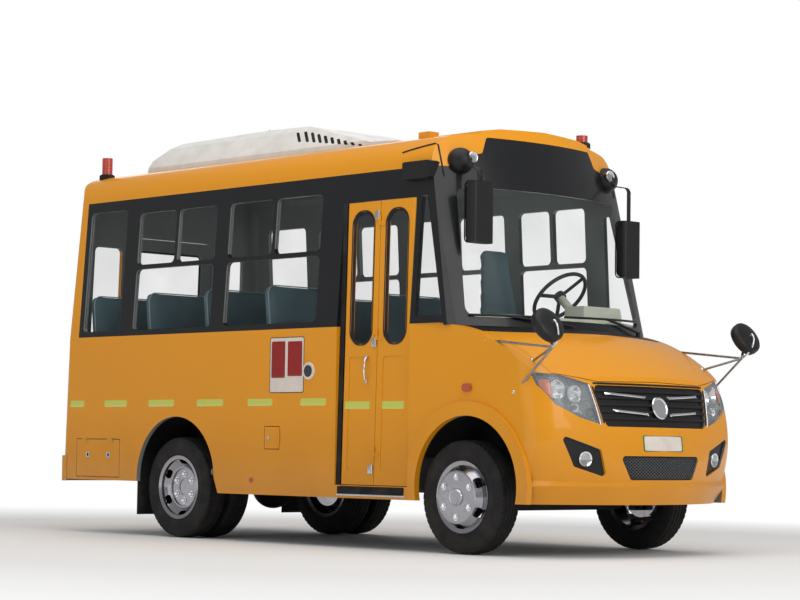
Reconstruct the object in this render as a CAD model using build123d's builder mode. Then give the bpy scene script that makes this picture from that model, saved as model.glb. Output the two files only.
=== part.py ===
"""Small school bus with a short bonnet, built as separate panels, chassis pieces and moving bodies.

Frame: origin on the ground at the middle of the vehicle, +X forward, +Y to the bus's left, +Z up, millimetres.
"""
import math
import os

from build123d import *

os.makedirs("parts", exist_ok=True)

# ----------------------------------------------------------------------------------------------------------
# Driving dimensions
# ----------------------------------------------------------------------------------------------------------
HALF_LENGTH = 2715.0        # front lip and rear bumper stand this far from the middle
HALF_WIDTH = 1000.0         # body side below the belt line
BAND_HALF_WIDTH = 930.0     # body side at the top of the window band
BELT_Z = 1530.0             # foot of the window band
BAND_TOP_Z = 2600.0         # top of the window band
ROOF_EDGE_HALF = 760.0      # where the roof's shoulder arc meets its crown
ROOF_EDGE_Z = 2822.0
ROOF_TOP_Z = 2876.0
SKIRT_Z = 345.0             # bottom of the sides between the axles
REAR_SKIRT_Z = 414.0        # bottom of the sides behind the rear wheels
WALL = 35.0                 # side, rear and roof wall thickness
CLIP_WALL = 28.0            # fibreglass front clip with its ribs
GLASS_INSET = 12.0          # outer face of a pane behind the outer skin
GLASS = 6.0

FRONT_AXLE_X = 1750.0
REAR_AXLE_X = -1263.0
TYRE_R = 377.0
TYRE_W = 190.0
FRONT_WHEEL_Y = 860.0       # centre plane of a front tyre
REAR_OUTER_Y = 855.0        # centre plane of an outer rear tyre
TWIN_PITCH = 225.0          # outer to inner tyre of a rear pair
KINGPIN_Y = 800.0

REAR_X = -2700.0            # rear wall at its foot height below
REAR_FOOT_Z = 800.0
REAR_LEAN = 0.0342          # the rear wall leans forward by this much per unit of height
REAR_CORNER_R = 100.0
CORNER_EASE = 3.0           # the corner arcs start this far outside the side, so the side keeps its own plane
REAR_SEAM_X = -2602.0       # side panels end here, the rear wall wraps round the corner

CLIP_REAR_X = 1296.0        # front clip begins behind the service door's front jamb
GAP = 5.0                   # shut gap round anything that opens
SEAT_EASE = 0.3             # play between pieces that are bolted face to face

# Windshield: an arc in plan, raked back
SHIELD_BASE_Z = 1512.0
SHIELD_CORNER_X = 1683.0
SHIELD_CENTRE_X = 1915.0
SHIELD_HALF = 946.0
SHIELD_RAKE = 240.0 / 966.0

# Service door
DOOR_FRONT_X = 1284.0
LEAF_W = 337.0
LEAF_T = 35.0
DOOR_Z0 = 438.0
DOOR_Z1 = 2390.0
DOOR_FOOT_Y = -992.0
DOOR_HEAD_Y = -955.0
JAMB_SEAL = 44.0
DOOR_CENTRE_X = DOOR_FRONT_X - LEAF_W
DOOR_REAR_X = DOOR_FRONT_X - 2 * LEAF_W
FREE_EDGE_GAP = 8.0       # the leaves straighten past their closed length as they start to fold
DOOR_OPEN_X0 = DOOR_REAR_X - FREE_EDGE_GAP - JAMB_SEAL
DOOR_OPEN_X1 = DOOR_FRONT_X + GAP

FLOOR_Z = 830.0
FLOOR_T = 50.0

ARCH_FRONT = (1835.0, 442.7, 469.0)    # x, z, radius of the front arch
ARCH_REAR = (-1235.0, 440.0, 467.0)


# ----------------------------------------------------------------------------------------------------------
# Shared helpers
# ----------------------------------------------------------------------------------------------------------
def block(x_range, y_range, z_range, mode=Mode.ADD):
    """A rectangular block between two corners."""
    centre = tuple((low + high) / 2 for low, high in (x_range, y_range, z_range))
    with Locations(centre):
        Box(x_range[1] - x_range[0], y_range[1] - y_range[0], z_range[1] - z_range[0], mode=mode)


def rod_y(x, z, radius, y_range, mode=Mode.ADD):
    """A round bar along Y."""
    with Locations((x, (y_range[0] + y_range[1]) / 2, z)):
        Cylinder(radius, y_range[1] - y_range[0], rotation=(90, 0, 0), mode=mode)


def prism_yz(points, x_range, radius=0.0):
    """A front-view outline (y, z) drawn through an x range, its corners rounded by radius."""
    with BuildPart(mode=Mode.PRIVATE) as prism:
        with BuildSketch(Plane.YZ.offset(x_range[0])) as outline:
            Polygon(*points, align=None)
            if radius:
                fillet(outline.vertices(), radius)
        extrude(amount=x_range[1] - x_range[0])
    return prism.part


def prism_xz(points, y_range, radius=0.0):
    """A side-view outline (x, z) drawn through a y range, its corners rounded by radius."""
    with BuildPart(mode=Mode.PRIVATE) as prism:
        with BuildSketch(Plane.XZ.offset(-y_range[0])) as outline:
            Polygon(*points, align=None)
            if radius:
                fillet(outline.vertices(), radius)
        extrude(amount=-(y_range[1] - y_range[0]))
    return prism.part


def save(piece, name):
    piece.label = name
    export_step(piece, f"parts/{name}.step")


def rear_x(z):
    """x of the rear wall's outer face at height z."""
    return REAR_X + REAR_LEAN * (z - REAR_FOOT_Z)


def shield_x(y, z):
    """x of the windshield's outer face at a place on it."""
    sag = SHIELD_CENTRE_X - SHIELD_CORNER_X
    radius = (SHIELD_HALF**2 + sag**2) / (2 * sag)
    plan = SHIELD_CENTRE_X - radius + math.sqrt(radius**2 - y**2)
    return plan - SHIELD_RAKE * (z - SHIELD_BASE_Z)


def ahead_of_shield(inset):
    """Everything ahead of the raked, bowed windshield face, moved back by inset."""
    with BuildPart(mode=Mode.PRIVATE) as ahead:
        for z in (-40, 3100):
            with BuildSketch(Plane.XY.offset(z)):
                with BuildLine():
                    centre_x = SHIELD_CENTRE_X - inset + SHIELD_RAKE * (SHIELD_BASE_Z - z)
                    corner_x = SHIELD_CORNER_X - inset + SHIELD_RAKE * (SHIELD_BASE_Z - z)
                    Polyline((corner_x, SHIELD_HALF), (corner_x - 400, 1600), (3600, 1600))
                    Polyline((3600, 1600), (3600, -1600), (corner_x - 400, -1600), (corner_x, -SHIELD_HALF))
                    ThreePointArc((corner_x, -SHIELD_HALF), (centre_x, 0), (corner_x, SHIELD_HALF))
                make_face()
        loft(ruled=True)
    return ahead.part


def body_form(inset):
    """The cabin's solid form, every face moved in by inset: cross section, side profile and raked front."""
    with BuildPart() as form:
        with BuildSketch(Plane.YZ.offset(-2900)) as section:
            with BuildLine():
                Polyline((0, 100), (HALF_WIDTH, 100), (HALF_WIDTH, BELT_Z), (BAND_HALF_WIDTH, BAND_TOP_Z))
                ThreePointArc(
                    (BAND_HALF_WIDTH, BAND_TOP_Z),
                    (BAND_HALF_WIDTH - 46, BAND_TOP_Z + 144),
                    (ROOF_EDGE_HALF, ROOF_EDGE_Z),
                )
                ThreePointArc(
                    (ROOF_EDGE_HALF, ROOF_EDGE_Z),
                    (ROOF_EDGE_HALF / 2, ROOF_EDGE_Z + 0.75 * (ROOF_TOP_Z - ROOF_EDGE_Z)),
                    (0, ROOF_TOP_Z),
                )
                Line((0, ROOF_TOP_Z), (0, 100))
            make_face()
            mirror(about=Plane.YZ)
            if inset:
                offset(amount=-inset, mode=Mode.REPLACE)
        extrude(amount=5000)
        with BuildSketch(Plane.XZ.offset(-1500)) as profile:
            rear_foot = (rear_x(0) + inset, 0)
            rear_head = (rear_x(ROOF_TOP_Z) + inset, ROOF_TOP_Z - inset)
            Polygon(rear_foot, (2400, 0), (2400, ROOF_TOP_Z - inset), rear_head, align=None)
            fillet(profile.vertices().group_by(Axis.X)[1], REAR_CORNER_R + 60 - inset)
        extrude(amount=3000, mode=Mode.INTERSECT)
        add(ahead_of_shield(inset), mode=Mode.SUBTRACT)
        for z, half in ((0, HALF_WIDTH), (BELT_Z, HALF_WIDTH), (BAND_TOP_Z, BAND_HALF_WIDTH), (3000, 904)):
            with BuildSketch(Plane.XY.offset(z)) as plan_level:
                with Locations((rear_x(z) + inset, 0)):
                    Rectangle(6000, 2 * (half - inset + CORNER_EASE), align=(Align.MIN, Align.CENTER))
                fillet(plan_level.vertices().group_by(Axis.X)[0], REAR_CORNER_R - inset)
        loft(ruled=True, mode=Mode.INTERSECT)
    return form.part


def nose_plan(half, front_x, corner_x, radius, inset):
    """One level's plan outline of the nose, with a bowed front between rounded corners."""
    with BuildLine() as outline:
        Polyline(
            (corner_x - inset, half - inset),
            (CLIP_REAR_X - inset, HALF_WIDTH - inset),
            (CLIP_REAR_X - inset, inset - HALF_WIDTH),
            (corner_x - inset, inset - half),
        )
        ThreePointArc((corner_x - inset, inset - half), (front_x - inset, 0), (corner_x - inset, half - inset))
    make_face(outline.edges())


def clip_form(inset):
    """The front clip's solid form: stacked plan outlines under a crowned, falling hood line."""
    levels = (                                   # z, half width, front x, corner x, corner radius
        (SKIRT_Z - 15 - inset, 966, HALF_LENGTH - 32, 2300, 200),
        (560, 982, HALF_LENGTH - 26, 2430, 220),
        (900, 985, HALF_LENGTH - 62, 2475, 240),
        (1150, 965, HALF_LENGTH - 128, 2420, 240),
        (1560, 945, HALF_LENGTH - 200, 2330, 240),
    )
    crowns = (                                   # x, height on the centre line, fall at the sides
        (1240, 1532, 4),
        (1700, 1524, 15),
        (2110, 1478, 125),
        (2390, 1330, 170),
        (2780, 1010, 180),
    )
    with BuildPart() as form:
        for z, half, front_x, corner_x, radius in levels:
            with BuildSketch(Plane.XY.offset(z)) as level:
                nose_plan(half, front_x, corner_x, radius, inset)
                fillet(level.vertices().group_by(Axis.X)[-1], radius - inset)
        loft()
        for x, top, fall in crowns:
            with BuildSketch(Plane.YZ.offset(x)) as crown:
                with BuildLine():
                    reach = 1200
                    edge_z = top - inset - fall * (reach / HALF_WIDTH)**2
                    Polyline((-reach, edge_z), (-reach, 200), (reach, 200), (reach, edge_z))
                    ThreePointArc((reach, edge_z), (0, top - inset), (-reach, edge_z))
                make_face()
        loft(mode=Mode.INTERSECT)
    return form.part


outer_form = body_form(0)
inner_form = body_form(WALL)
with BuildPart() as cabin:
    add(outer_form)
    add(inner_form, mode=Mode.SUBTRACT)
with BuildPart() as pane_layer:
    add(body_form(GLASS_INSET))
    add(body_form(GLASS_INSET + GLASS), mode=Mode.SUBTRACT)
with BuildPart() as clip_shell:
    add(clip_form(0))
    add(clip_form(CLIP_WALL), mode=Mode.SUBTRACT)
cabin_shell = cabin.part
glass_shell = pane_layer.part
nose_shell = clip_shell.part


# ----------------------------------------------------------------------------------------------------------
# Openings shared by walls, glass and doors
# ----------------------------------------------------------------------------------------------------------
WINDOWS = (              # side, rear x, front x, sill z, head z, sliding pair above a bar
    ("both", -2440, -1960, 1572, 2520, False),
    ("both", -1800, -850, 1572, 2480, True),
    ("both", -700, 330, 1572, 2480, True),
    ("left", 480, 1150, 1572, 2480, True),
)
BAR_Z = 2060.0           # middle of the bar between the fixed pane and the sliding pair
BAR = 34.0
PANE_R = 40.0            # corner radius of a pane


def window_prisms(side):
    """The openings of one side's windows, as (prism) list, side -1 right and +1 left."""
    y_range = (-1100, -700) if side < 0 else (700, 1100)
    prisms = []
    for where, x0, x1, z0, z1, pair in WINDOWS:
        if where != "both" and side < 0:
            continue
        rects = [(x0, x1, z0, z1)]
        if pair:
            middle = (x0 + x1) / 2
            low = BAR_Z + BAR / 2
            rects = [(x0, x1, z0, BAR_Z - BAR / 2), (x0, middle - BAR / 2, low, z1), (middle + BAR / 2, x1, low, z1)]
        for rx0, rx1, rz0, rz1 in rects:
            prisms.append(prism_xz([(rx0, rz0), (rx1, rz0), (rx1, rz1), (rx0, rz1)], y_range, PANE_R))
    quarter_front = SHIELD_CORNER_X - 90
    lean = SHIELD_RAKE * (2400 - 1580)
    quarter = [(1335, 1580), (quarter_front, 1580), (quarter_front - lean, 2400), (1335, 2400)]
    prisms.append(prism_xz(quarter, y_range, PANE_R / 4))
    return prisms


shield_outline = [(-880, 1572), (880, 1572), (800, 2462), (-800, 2462)]
header_outline = [
    (-812, 2492), (812, 2492), (742, 2672), (572, 2706), (520, 2822), (-520, 2822), (-572, 2706), (-742, 2672),
]
shield_prism = prism_yz(shield_outline, (1200, 2100), 70)
header_prism = prism_yz(header_outline, (1100, 1900), 24)
EXIT_HALF = 430.0        # rear emergency door
EXIT_Z0 = 700.0
EXIT_Z1 = 2380.0
exit_prism = prism_yz(
    [(-EXIT_HALF, EXIT_Z0), (EXIT_HALF, EXIT_Z0), (EXIT_HALF, EXIT_Z1), (-EXIT_HALF, EXIT_Z1)], (-2800, -2500), 60
)
leaf_clear = EXIT_HALF - GAP
exit_leaf_prism = prism_yz(
    [
        (-leaf_clear, EXIT_Z0 + GAP), (leaf_clear, EXIT_Z0 + GAP), (leaf_clear, EXIT_Z1 - GAP),
        (-leaf_clear, EXIT_Z1 - GAP),
    ],
    (-2800, -2500), 55,
)
exit_glass_prism = prism_yz([(-330, 1560), (330, 1560), (330, 2280), (-330, 2280)], (-2800, -2500), 60)
rear_light_prisms = [
    prism_yz([(side * 500, 1560), (side * 780, 1560), (side * 770, 2280), (side * 500, 2280)], (-2800, -2500), 40)
    for side in (-1, 1)
]
hatch = (-2489, -1924, REAR_SKIRT_Z + 22, 734)          # x, x, z, z of the battery hatch
flap = (-202, -32, 671, 838)                            # and of the filler flap


def panel_prism(edges, ease):
    """A side panel's rectangle (x0, x1, z0, z1) shrunk by ease, right through the right-hand wall."""
    x0, x1, z0, z1 = edges
    return prism_xz(
        [(x0 + ease, z0 + ease), (x1 - ease, z0 + ease), (x1 - ease, z1 - ease), (x0 + ease, z1 - ease)],
        (-1100, -940), 8,
    )


def arch_cut(arch):
    """The round wheel opening right across the body."""
    x, z, radius = arch
    with BuildPart(mode=Mode.PRIVATE) as cut:
        rod_y(x, z, radius, (-1200, 1200))
    return cut.part


rear_arch = arch_cut(ARCH_REAR)
front_arch = arch_cut(ARCH_FRONT)
rear_arch_slope = prism_xz(
    [(-1290, 300), (-702, 300), (-720, SKIRT_Z), (-905, 770), (-1290, 770)], (-1200, 1200)
)
skirt_step = prism_xz(
    [(-2900, 0), (ARCH_REAR[0], 0), (ARCH_REAR[0], REAR_SKIRT_Z), (-2900, REAR_SKIRT_Z)], (-1200, 1200)
)

# ----------------------------------------------------------------------------------------------------------
# Body sides, bands, roof, rear wall
# ----------------------------------------------------------------------------------------------------------
with BuildPart() as right_side:
    add(cabin_shell)
    block((REAR_SEAM_X, CLIP_REAR_X), (-1100, -900), (SKIRT_Z, BELT_Z), mode=Mode.INTERSECT)
    add([rear_arch, rear_arch_slope, skirt_step], mode=Mode.SUBTRACT)
    block((DOOR_OPEN_X0, DOOR_OPEN_X1), (-1100, -900), (DOOR_Z0 - GAP, BELT_Z + 1), mode=Mode.SUBTRACT)
    add([panel_prism(hatch, 0), panel_prism(flap, 0)], mode=Mode.SUBTRACT)
save(right_side.part, "right_side")

with BuildPart() as left_side:
    add(cabin_shell)
    block((REAR_SEAM_X, CLIP_REAR_X), (900, 1100), (SKIRT_Z, BELT_Z), mode=Mode.INTERSECT)
    add([rear_arch, rear_arch_slope, skirt_step], mode=Mode.SUBTRACT)
save(left_side.part, "left_side")

BAND_REAR_X = -2495.0
PILLAR_DEPTH = 70.0      # windshield frame to band joint, behind the windshield's corner
pillar_prism = prism_xz(
    [
        (SHIELD_CORNER_X - PILLAR_DEPTH, SHIELD_BASE_Z),
        (SHIELD_CORNER_X - PILLAR_DEPTH - SHIELD_RAKE * 1500, SHIELD_BASE_Z + 1500),
        (2300, SHIELD_BASE_Z + 1500),
        (2300, SHIELD_BASE_Z),
    ],
    (-1200, 1200),
)
bands = []
for side, name in ((-1, "right_window_band"), (1, "left_window_band")):
    with BuildPart() as band:
        add(cabin_shell)
        y_range = (-1100, -600) if side < 0 else (600, 1100)
        block((BAND_REAR_X, 2300), y_range, (BELT_Z, BAND_TOP_Z), mode=Mode.INTERSECT)
        add(pillar_prism, mode=Mode.SUBTRACT)
        add(window_prisms(side), mode=Mode.SUBTRACT)
        if side < 0:
            block((DOOR_OPEN_X0, DOOR_OPEN_X1), y_range, (BELT_Z - 1, DOOR_Z1 + GAP), mode=Mode.SUBTRACT)
    save(band.part, name)
    bands.append(band.part)

with BuildPart() as side_glass:
    for side in (-1, 1):
        for prism in window_prisms(side):
            with BuildPart(mode=Mode.PRIVATE) as pane:
                add(glass_shell)
                add(prism, mode=Mode.INTERSECT)
            add(pane.part)
    for prism in rear_light_prisms:
        with BuildPart(mode=Mode.PRIVATE) as pane:
            add(glass_shell)
            add(prism, mode=Mode.INTERSECT)
        add(pane.part)
save(side_glass.part, "side_glass")

with BuildPart() as rear_wall:
    add(cabin_shell)
    with BuildPart(mode=Mode.PRIVATE) as rear_zone:
        block((-2900, REAR_SEAM_X), (-1100, 1100), (REAR_SKIRT_Z, BELT_Z))
        block((-2900, BAND_REAR_X), (-1100, 1100), (BELT_Z, BAND_TOP_Z))
    add(rear_zone.part, mode=Mode.INTERSECT)
    add([exit_prism] + rear_light_prisms, mode=Mode.SUBTRACT)
save(rear_wall.part, "rear_wall")

HUMP_TOP = 2905.0
with BuildPart() as hump_form:
    add(prism_yz([(-640, 2700), (640, 2700), (545, 2868), (400, 2890), (0, HUMP_TOP), (-400, 2890), (-545, 2868)],
                 (700, 1900)))
    add(prism_xz([(820, 2700), (1150, 2930), (1900, 2930), (1900, 2700)], (-800, 800)), mode=Mode.INTERSECT)
    add(ahead_of_shield(0), mode=Mode.SUBTRACT)
    add(outer_form, mode=Mode.SUBTRACT)
with BuildPart() as roof:
    add(cabin_shell)
    block((-2900, 2300), (-1100, 1100), (BAND_TOP_Z, 3000), mode=Mode.INTERSECT)
    add(hump_form.part)
    with BuildPart(mode=Mode.PRIVATE) as header_pocket:
        add(header_prism)
        add(ahead_of_shield(14), mode=Mode.INTERSECT)
    add(header_pocket.part, mode=Mode.SUBTRACT)
    block((1000, 1110), (-660, -570), (2800, 2888))
    add(inner_form, mode=Mode.SUBTRACT)
save(roof.part, "roof")

with BuildPart() as windshield_frame:
    add(cabin_shell)
    add(pillar_prism, mode=Mode.INTERSECT)
    block((1000, 2300), (-1100, 1100), (SHIELD_BASE_Z, BAND_TOP_Z), mode=Mode.INTERSECT)
    add(shield_prism, mode=Mode.SUBTRACT)
    add(header_pocket.part, mode=Mode.SUBTRACT)
save(windshield_frame.part, "windshield_frame")

with BuildPart() as header_board:
    add(header_pocket.part)
    add(ahead_of_shield(0), mode=Mode.SUBTRACT)
save(header_board.part, "header_board")

with BuildPart() as windshield:
    add(glass_shell)
    add(shield_prism, mode=Mode.INTERSECT)
save(windshield.part, "windshield")


# ----------------------------------------------------------------------------------------------------------
# Rear emergency door, battery hatch and filler flap: cut from the same walls, with hinge knuckles
# ----------------------------------------------------------------------------------------------------------
KNUCKLE_R = 8.5
EXIT_HINGE = (rear_x(EXIT_Z0) - KNUCKLE_R, EXIT_HALF - GAP / 2)       # x, y of the axis at the door's foot
exit_axis_plane = Plane(
    origin=(EXIT_HINGE[0], EXIT_HINGE[1], EXIT_Z0), x_dir=(0, 1, 0), z_dir=(REAR_LEAN, 0, 1)
)
EXIT_KNUCKLES = (180.0, 840.0, 1500.0)       # heights of the hinges above the door's foot
with BuildPart() as exit_door:
    add(cabin_shell)
    add(exit_leaf_prism, mode=Mode.INTERSECT)
    add(exit_glass_prism, mode=Mode.SUBTRACT)
    for height in EXIT_KNUCKLES:
        with BuildSketch(exit_axis_plane.offset(height)) as knuckle:
            Circle(KNUCKLE_R)
            with Locations((-25, -KNUCKLE_R / 2 - 1)):
                Rectangle(50, KNUCKLE_R - 1)
        extrude(amount=50)
save(exit_door.part, "emergency_door")

with BuildPart() as exit_glass:
    add(glass_shell)
    add(exit_glass_prism, mode=Mode.INTERSECT)
save(exit_glass.part, "emergency_door_glass")

side_hinge_y = -HALF_WIDTH - 6.0
with BuildPart() as battery_hatch:
    add(cabin_shell)
    add(panel_prism(hatch, GAP), mode=Mode.INTERSECT)
    for x in (hatch[0] + 120, hatch[1] - 120):
        with Locations((x, side_hinge_y, hatch[3] - GAP / 2)):
            Cylinder(6, 60, rotation=(0, 90, 0))
        with Locations((x, -HALF_WIDTH - 2, hatch[3] - 18)):
            Box(60, 4, 30)
save(battery_hatch.part, "battery_hatch")

with BuildPart() as filler_flap:
    add(cabin_shell)
    add(panel_prism(flap, GAP), mode=Mode.INTERSECT)
    with Locations((flap[1] - GAP / 2, side_hinge_y, (flap[2] + flap[3]) / 2)):
        Cylinder(6, 90)
    with Locations((flap[1] - 14, -HALF_WIDTH - 2, (flap[2] + flap[3]) / 2)):
        Box(24, 4, 90)
save(filler_flap.part, "filler_flap")

# ----------------------------------------------------------------------------------------------------------
# Service door: two equal leaves folding inward; the jamb pivot and the guide pin lie at mid thickness, the
# middle hinge on the outer face, so the free edge keeps to its line at a fixed ratio of two to one
# ----------------------------------------------------------------------------------------------------------
door_tilt = math.atan2(DOOR_HEAD_Y - DOOR_FOOT_Y, DOOR_Z1 - DOOR_Z0)
door_up = (0, math.sin(door_tilt), math.cos(door_tilt))
DOOR_H = (DOOR_Z1 - DOOR_Z0) / math.cos(door_tilt)
door_plane = Plane(
    origin=(DOOR_FRONT_X, DOOR_FOOT_Y, DOOR_Z0), x_dir=(1, 0, 0), z_dir=(0, -math.cos(door_tilt), math.sin(door_tilt))
)
door_floor = Plane(origin=(DOOR_FRONT_X, DOOR_FOOT_Y, DOOR_Z0), x_dir=(1, 0, 0), z_dir=door_up)
LEAF_WINDOW = (62, 62, 968, 1886)            # margins at both edges, foot and head of the pane above the foot
PRESSED = (96.0, 880.0)                      # heights of the pressed field below the pane
PRESSED_MARGIN = 58.0
PRESSED_DEPTH = 4.0
PIVOT_R = 9.0
LEAF_HINGES = (190.0, 990.0, 1780.0)
HINGE_H = 70.0
leaf_spans = (("service_door_front_leaf", -LEAF_W + 2, 0), ("service_door_rear_leaf", -2 * LEAF_W, -LEAF_W - 2))
leaf_glass_prisms = []
for name, x0, x1 in leaf_spans:
    with BuildPart(mode=Mode.PRIVATE) as leaf_pane:
        with BuildSketch(door_plane):
            with Locations(((x0 + x1) / 2, (LEAF_WINDOW[2] + LEAF_WINDOW[3]) / 2)):
                RectangleRounded(x1 - x0 - LEAF_WINDOW[0] - LEAF_WINDOW[1], LEAF_WINDOW[3] - LEAF_WINDOW[2], 70)
        extrude(amount=-LEAF_T - 20, both=True)
    leaf_glass_prisms.append(leaf_pane.part)
FOLD_Y = -9.0                                # the middle hinge's axis, outside the leaves' outer face
FOLD_R = 8.0
STRAP = 44.0
for (name, x0, x1), pane_cut in zip(leaf_spans, leaf_glass_prisms):
    front = x1 == 0
    with BuildPart() as leaf:
        with BuildSketch(door_floor) as leaf_plan:
            with Locations(((x0 + x1) / 2, LEAF_T / 2)):
                Rectangle(x1 - x0, LEAF_T)
            fillet(leaf_plan.vertices().group_by(Axis.X)[-1 if front else 0], LEAF_T / 2 - 0.5)
        extrude(amount=DOOR_H)
        add(pane_cut, mode=Mode.SUBTRACT)
        with BuildSketch(door_plane):
            with Locations(((x0 + x1) / 2, (PRESSED[0] + PRESSED[1]) / 2)):
                RectangleRounded(x1 - x0 - 2 * PRESSED_MARGIN, PRESSED[1] - PRESSED[0], 26)
        extrude(amount=-PRESSED_DEPTH, mode=Mode.SUBTRACT)
        for height in LEAF_HINGES:
            with BuildSketch(door_floor.offset(height + (0 if front else HINGE_H / 2 + 0.5))):
                with Locations((-LEAF_W, FOLD_Y)):
                    Circle(FOLD_R)
                with Locations((-LEAF_W, FOLD_Y + 6.5)):
                    Rectangle(STRAP, 5, align=(Align.MIN if front else Align.MAX, Align.CENTER))
            extrude(amount=HINGE_H / 2 - 0.5)
        if front:
            with BuildSketch(door_floor) as pivot_hole:
                with Locations((-LEAF_T / 2, LEAF_T / 2)):
                    Circle(PIVOT_R + 0.05)
            extrude(amount=26, mode=Mode.SUBTRACT)
            extrude(pivot_hole.sketch.moved(Location(Vector(*door_up) * DOOR_H)), amount=-26, mode=Mode.SUBTRACT)
    save(leaf.part, name)
with BuildPart() as door_glass:
    with BuildSketch(door_plane.offset(-GLASS_INSET)):
        Rectangle(2000, 6000)
    extrude(amount=-GLASS)
for (name, x0, x1), pane_cut in zip(leaf_spans, leaf_glass_prisms):
    with BuildPart() as leaf_glass:
        add(door_glass.part)
        add(pane_cut, mode=Mode.INTERSECT)
    save(leaf_glass.part, name + "_glass")
with BuildPart() as door_gear:
    with BuildSketch(door_floor.offset(-GAP)):
        with Locations((-LEAF_T / 2, LEAF_T / 2)):
            Circle(PIVOT_R)
    extrude(amount=GAP + 20)
    with BuildSketch(door_floor.offset(DOOR_H + GAP)):
        with Locations((-LEAF_T / 2, LEAF_T / 2)):
            Circle(PIVOT_R)
    extrude(amount=-GAP - 20)
    with BuildSketch(door_floor.offset(-GAP)):
        with Locations((DOOR_OPEN_X0 - DOOR_FRONT_X, 4)):
            Rectangle(JAMB_SEAL, LEAF_T - 8, align=(Align.MIN, Align.MIN))
    extrude(amount=DOOR_H + 2 * GAP - 1)
    add([right_side.part, bands[0]], mode=Mode.SUBTRACT)
save(door_gear.part, "service_door_jamb")

# ----------------------------------------------------------------------------------------------------------
# Front clip, hood, cowl, grilles and lamps
# ----------------------------------------------------------------------------------------------------------
HOOD_REAR_CENTRE_X = 2110.0
HOOD_REAR_CORNER_X = 1885.0
HOOD_REAR_HALF = 905.0
hood_lower_line = [(-1000, 1225), (-830, 1190), (-510, 1142), (0, 1152), (510, 1142), (830, 1190), (1000, 1225)]


def hood_prism(ease):
    """The hood's shut line: plan outline drawn up through the nose, above its front edge line."""
    with BuildPart(mode=Mode.PRIVATE) as prism:
        with BuildSketch(Plane.XY.offset(1000)):
            with BuildLine():
                corner = (HOOD_REAR_CORNER_X - ease, HOOD_REAR_HALF + ease)
                Polyline(corner, (2384, 832 + ease), (2800, 780 + ease), (2800, -780 - ease), (2384, -832 - ease),
                         (corner[0], -corner[1]))
                ThreePointArc((corner[0], -corner[1]), (HOOD_REAR_CENTRE_X - ease, 0), corner)
            make_face()
        extrude(amount=700)
        lower = [(y, z - ease) for y, z in hood_lower_line]
        add(prism_yz(lower + [(1000, 1800), (-1000, 1800)], (1500, 2900)), mode=Mode.INTERSECT)
    return prism.part


HOOD_GAP = 9.0           # behind the hood, which swings back as it starts to lift
HOOD_HINGE = (1880.0, 1458.0)                # x, z of the hinge pins
HOOD_HINGE_R = 7.0
HOOD_KNUCKLE = (847.0, 871.5, 896.0)         # y of the hood's knuckle and of the cowl's, which meet at the middle


def cowl_prism(gap):
    """The cowl's plan zone between the windshield and the hood's rear edge, kept back by gap, twice at the corners."""
    with BuildPart(mode=Mode.PRIVATE) as zone:
        with BuildSketch(Plane.XY.offset(1300)):
            with BuildLine():
                corner = (HOOD_REAR_CORNER_X - 2 * gap, HOOD_REAR_HALF)
                back = (SHIELD_CORNER_X - 10, HOOD_REAR_HALF)
                ThreePointArc((corner[0], -corner[1]), (HOOD_REAR_CENTRE_X - gap, 0), corner)
                Line(corner, back)
                ThreePointArc(back, (SHIELD_CENTRE_X - 10, 0), (back[0], -back[1]))
                Line((back[0], -back[1]), (corner[0], -corner[1]))
            make_face()
        extrude(amount=400)
    return zone.part


cowl_zone = cowl_prism(HOOD_GAP)
hood_open = hood_prism(GAP - 1)
grille_outline = [(-500, 850), (500, 850), (556, 1118), (-556, 1118)]
lower_grille_outline = [(-312, 506), (312, 506), (398, 662), (-398, 662)]
lamp_outline = [(578, 1122), (780, 1178), (938, 1190), (930, 1110), (860, 985), (700, 905), (524, 856)]
fog_outline = [(850, 796), (550, 700), (500, 520), (740, 590)]


def both_sides(outline):
    return [[(side * y, z) for y, z in outline] for side in (1, -1)]


grille_prism = prism_yz(grille_outline, (2200, 2800), 30)
lower_grille_prism = prism_yz(lower_grille_outline, (2200, 2800), 24)
lamp_prisms = [prism_yz(points, (2100, 2800), 16) for points in both_sides(lamp_outline)]
fog_prisms = [prism_yz(points, (2100, 2800), 22) for points in both_sides(fog_outline)]
LIP_LEVELS = (               # z, half width, front x, corner x, corner radius of the lip under the nose
    (SKIRT_Z, 972, HALF_LENGTH - 26, 2310, 205),
    (464, 990, HALF_LENGTH, 2420, 215),
    (503, 978, HALF_LENGTH - 34, 2400, 215),
)
with BuildPart() as front_lip:
    for z, half, front_x, corner_x, radius in LIP_LEVELS:
        with BuildSketch(Plane.XY.offset(z)) as level:
            nose_plan(half, front_x, corner_x, radius, 0)
            fillet(level.vertices().group_by(Axis.X)[-1], radius)
    loft(ruled=True)
    add(clip_form(CLIP_WALL), mode=Mode.SUBTRACT)
with BuildPart() as above_base:
    add(outer_form)
    with BuildPart(mode=Mode.PRIVATE) as upper_zone:
        block((1200, 2300), (-1200, 1200), (BELT_Z, 3000))
        add(pillar_prism)
    add(upper_zone.part, mode=Mode.INTERSECT)
with BuildPart() as front_clip:
    add([nose_shell, front_lip.part])
    for side in (-1, 1):
        with BuildSketch(Plane.XZ.offset(side * 1010)):
            with Locations((ARCH_FRONT[0], ARCH_FRONT[1])):
                Circle(ARCH_FRONT[2] + 95)
        extrude(amount=-side * 45)
    block((CLIP_REAR_X, 3000), (-1100, 1100), (SKIRT_Z, 1600), mode=Mode.INTERSECT)
    add(front_arch, mode=Mode.SUBTRACT)
    add(above_base.part, mode=Mode.SUBTRACT)
    add(inner_form, mode=Mode.SUBTRACT)
    add([hood_open, cowl_prism(0), grille_prism, lower_grille_prism] + lamp_prisms + fog_prisms,
        mode=Mode.SUBTRACT)
clip_body = front_clip.part.solids().sort_by(SortBy.VOLUME)[-1]
save(clip_body, "front_clip")

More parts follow.
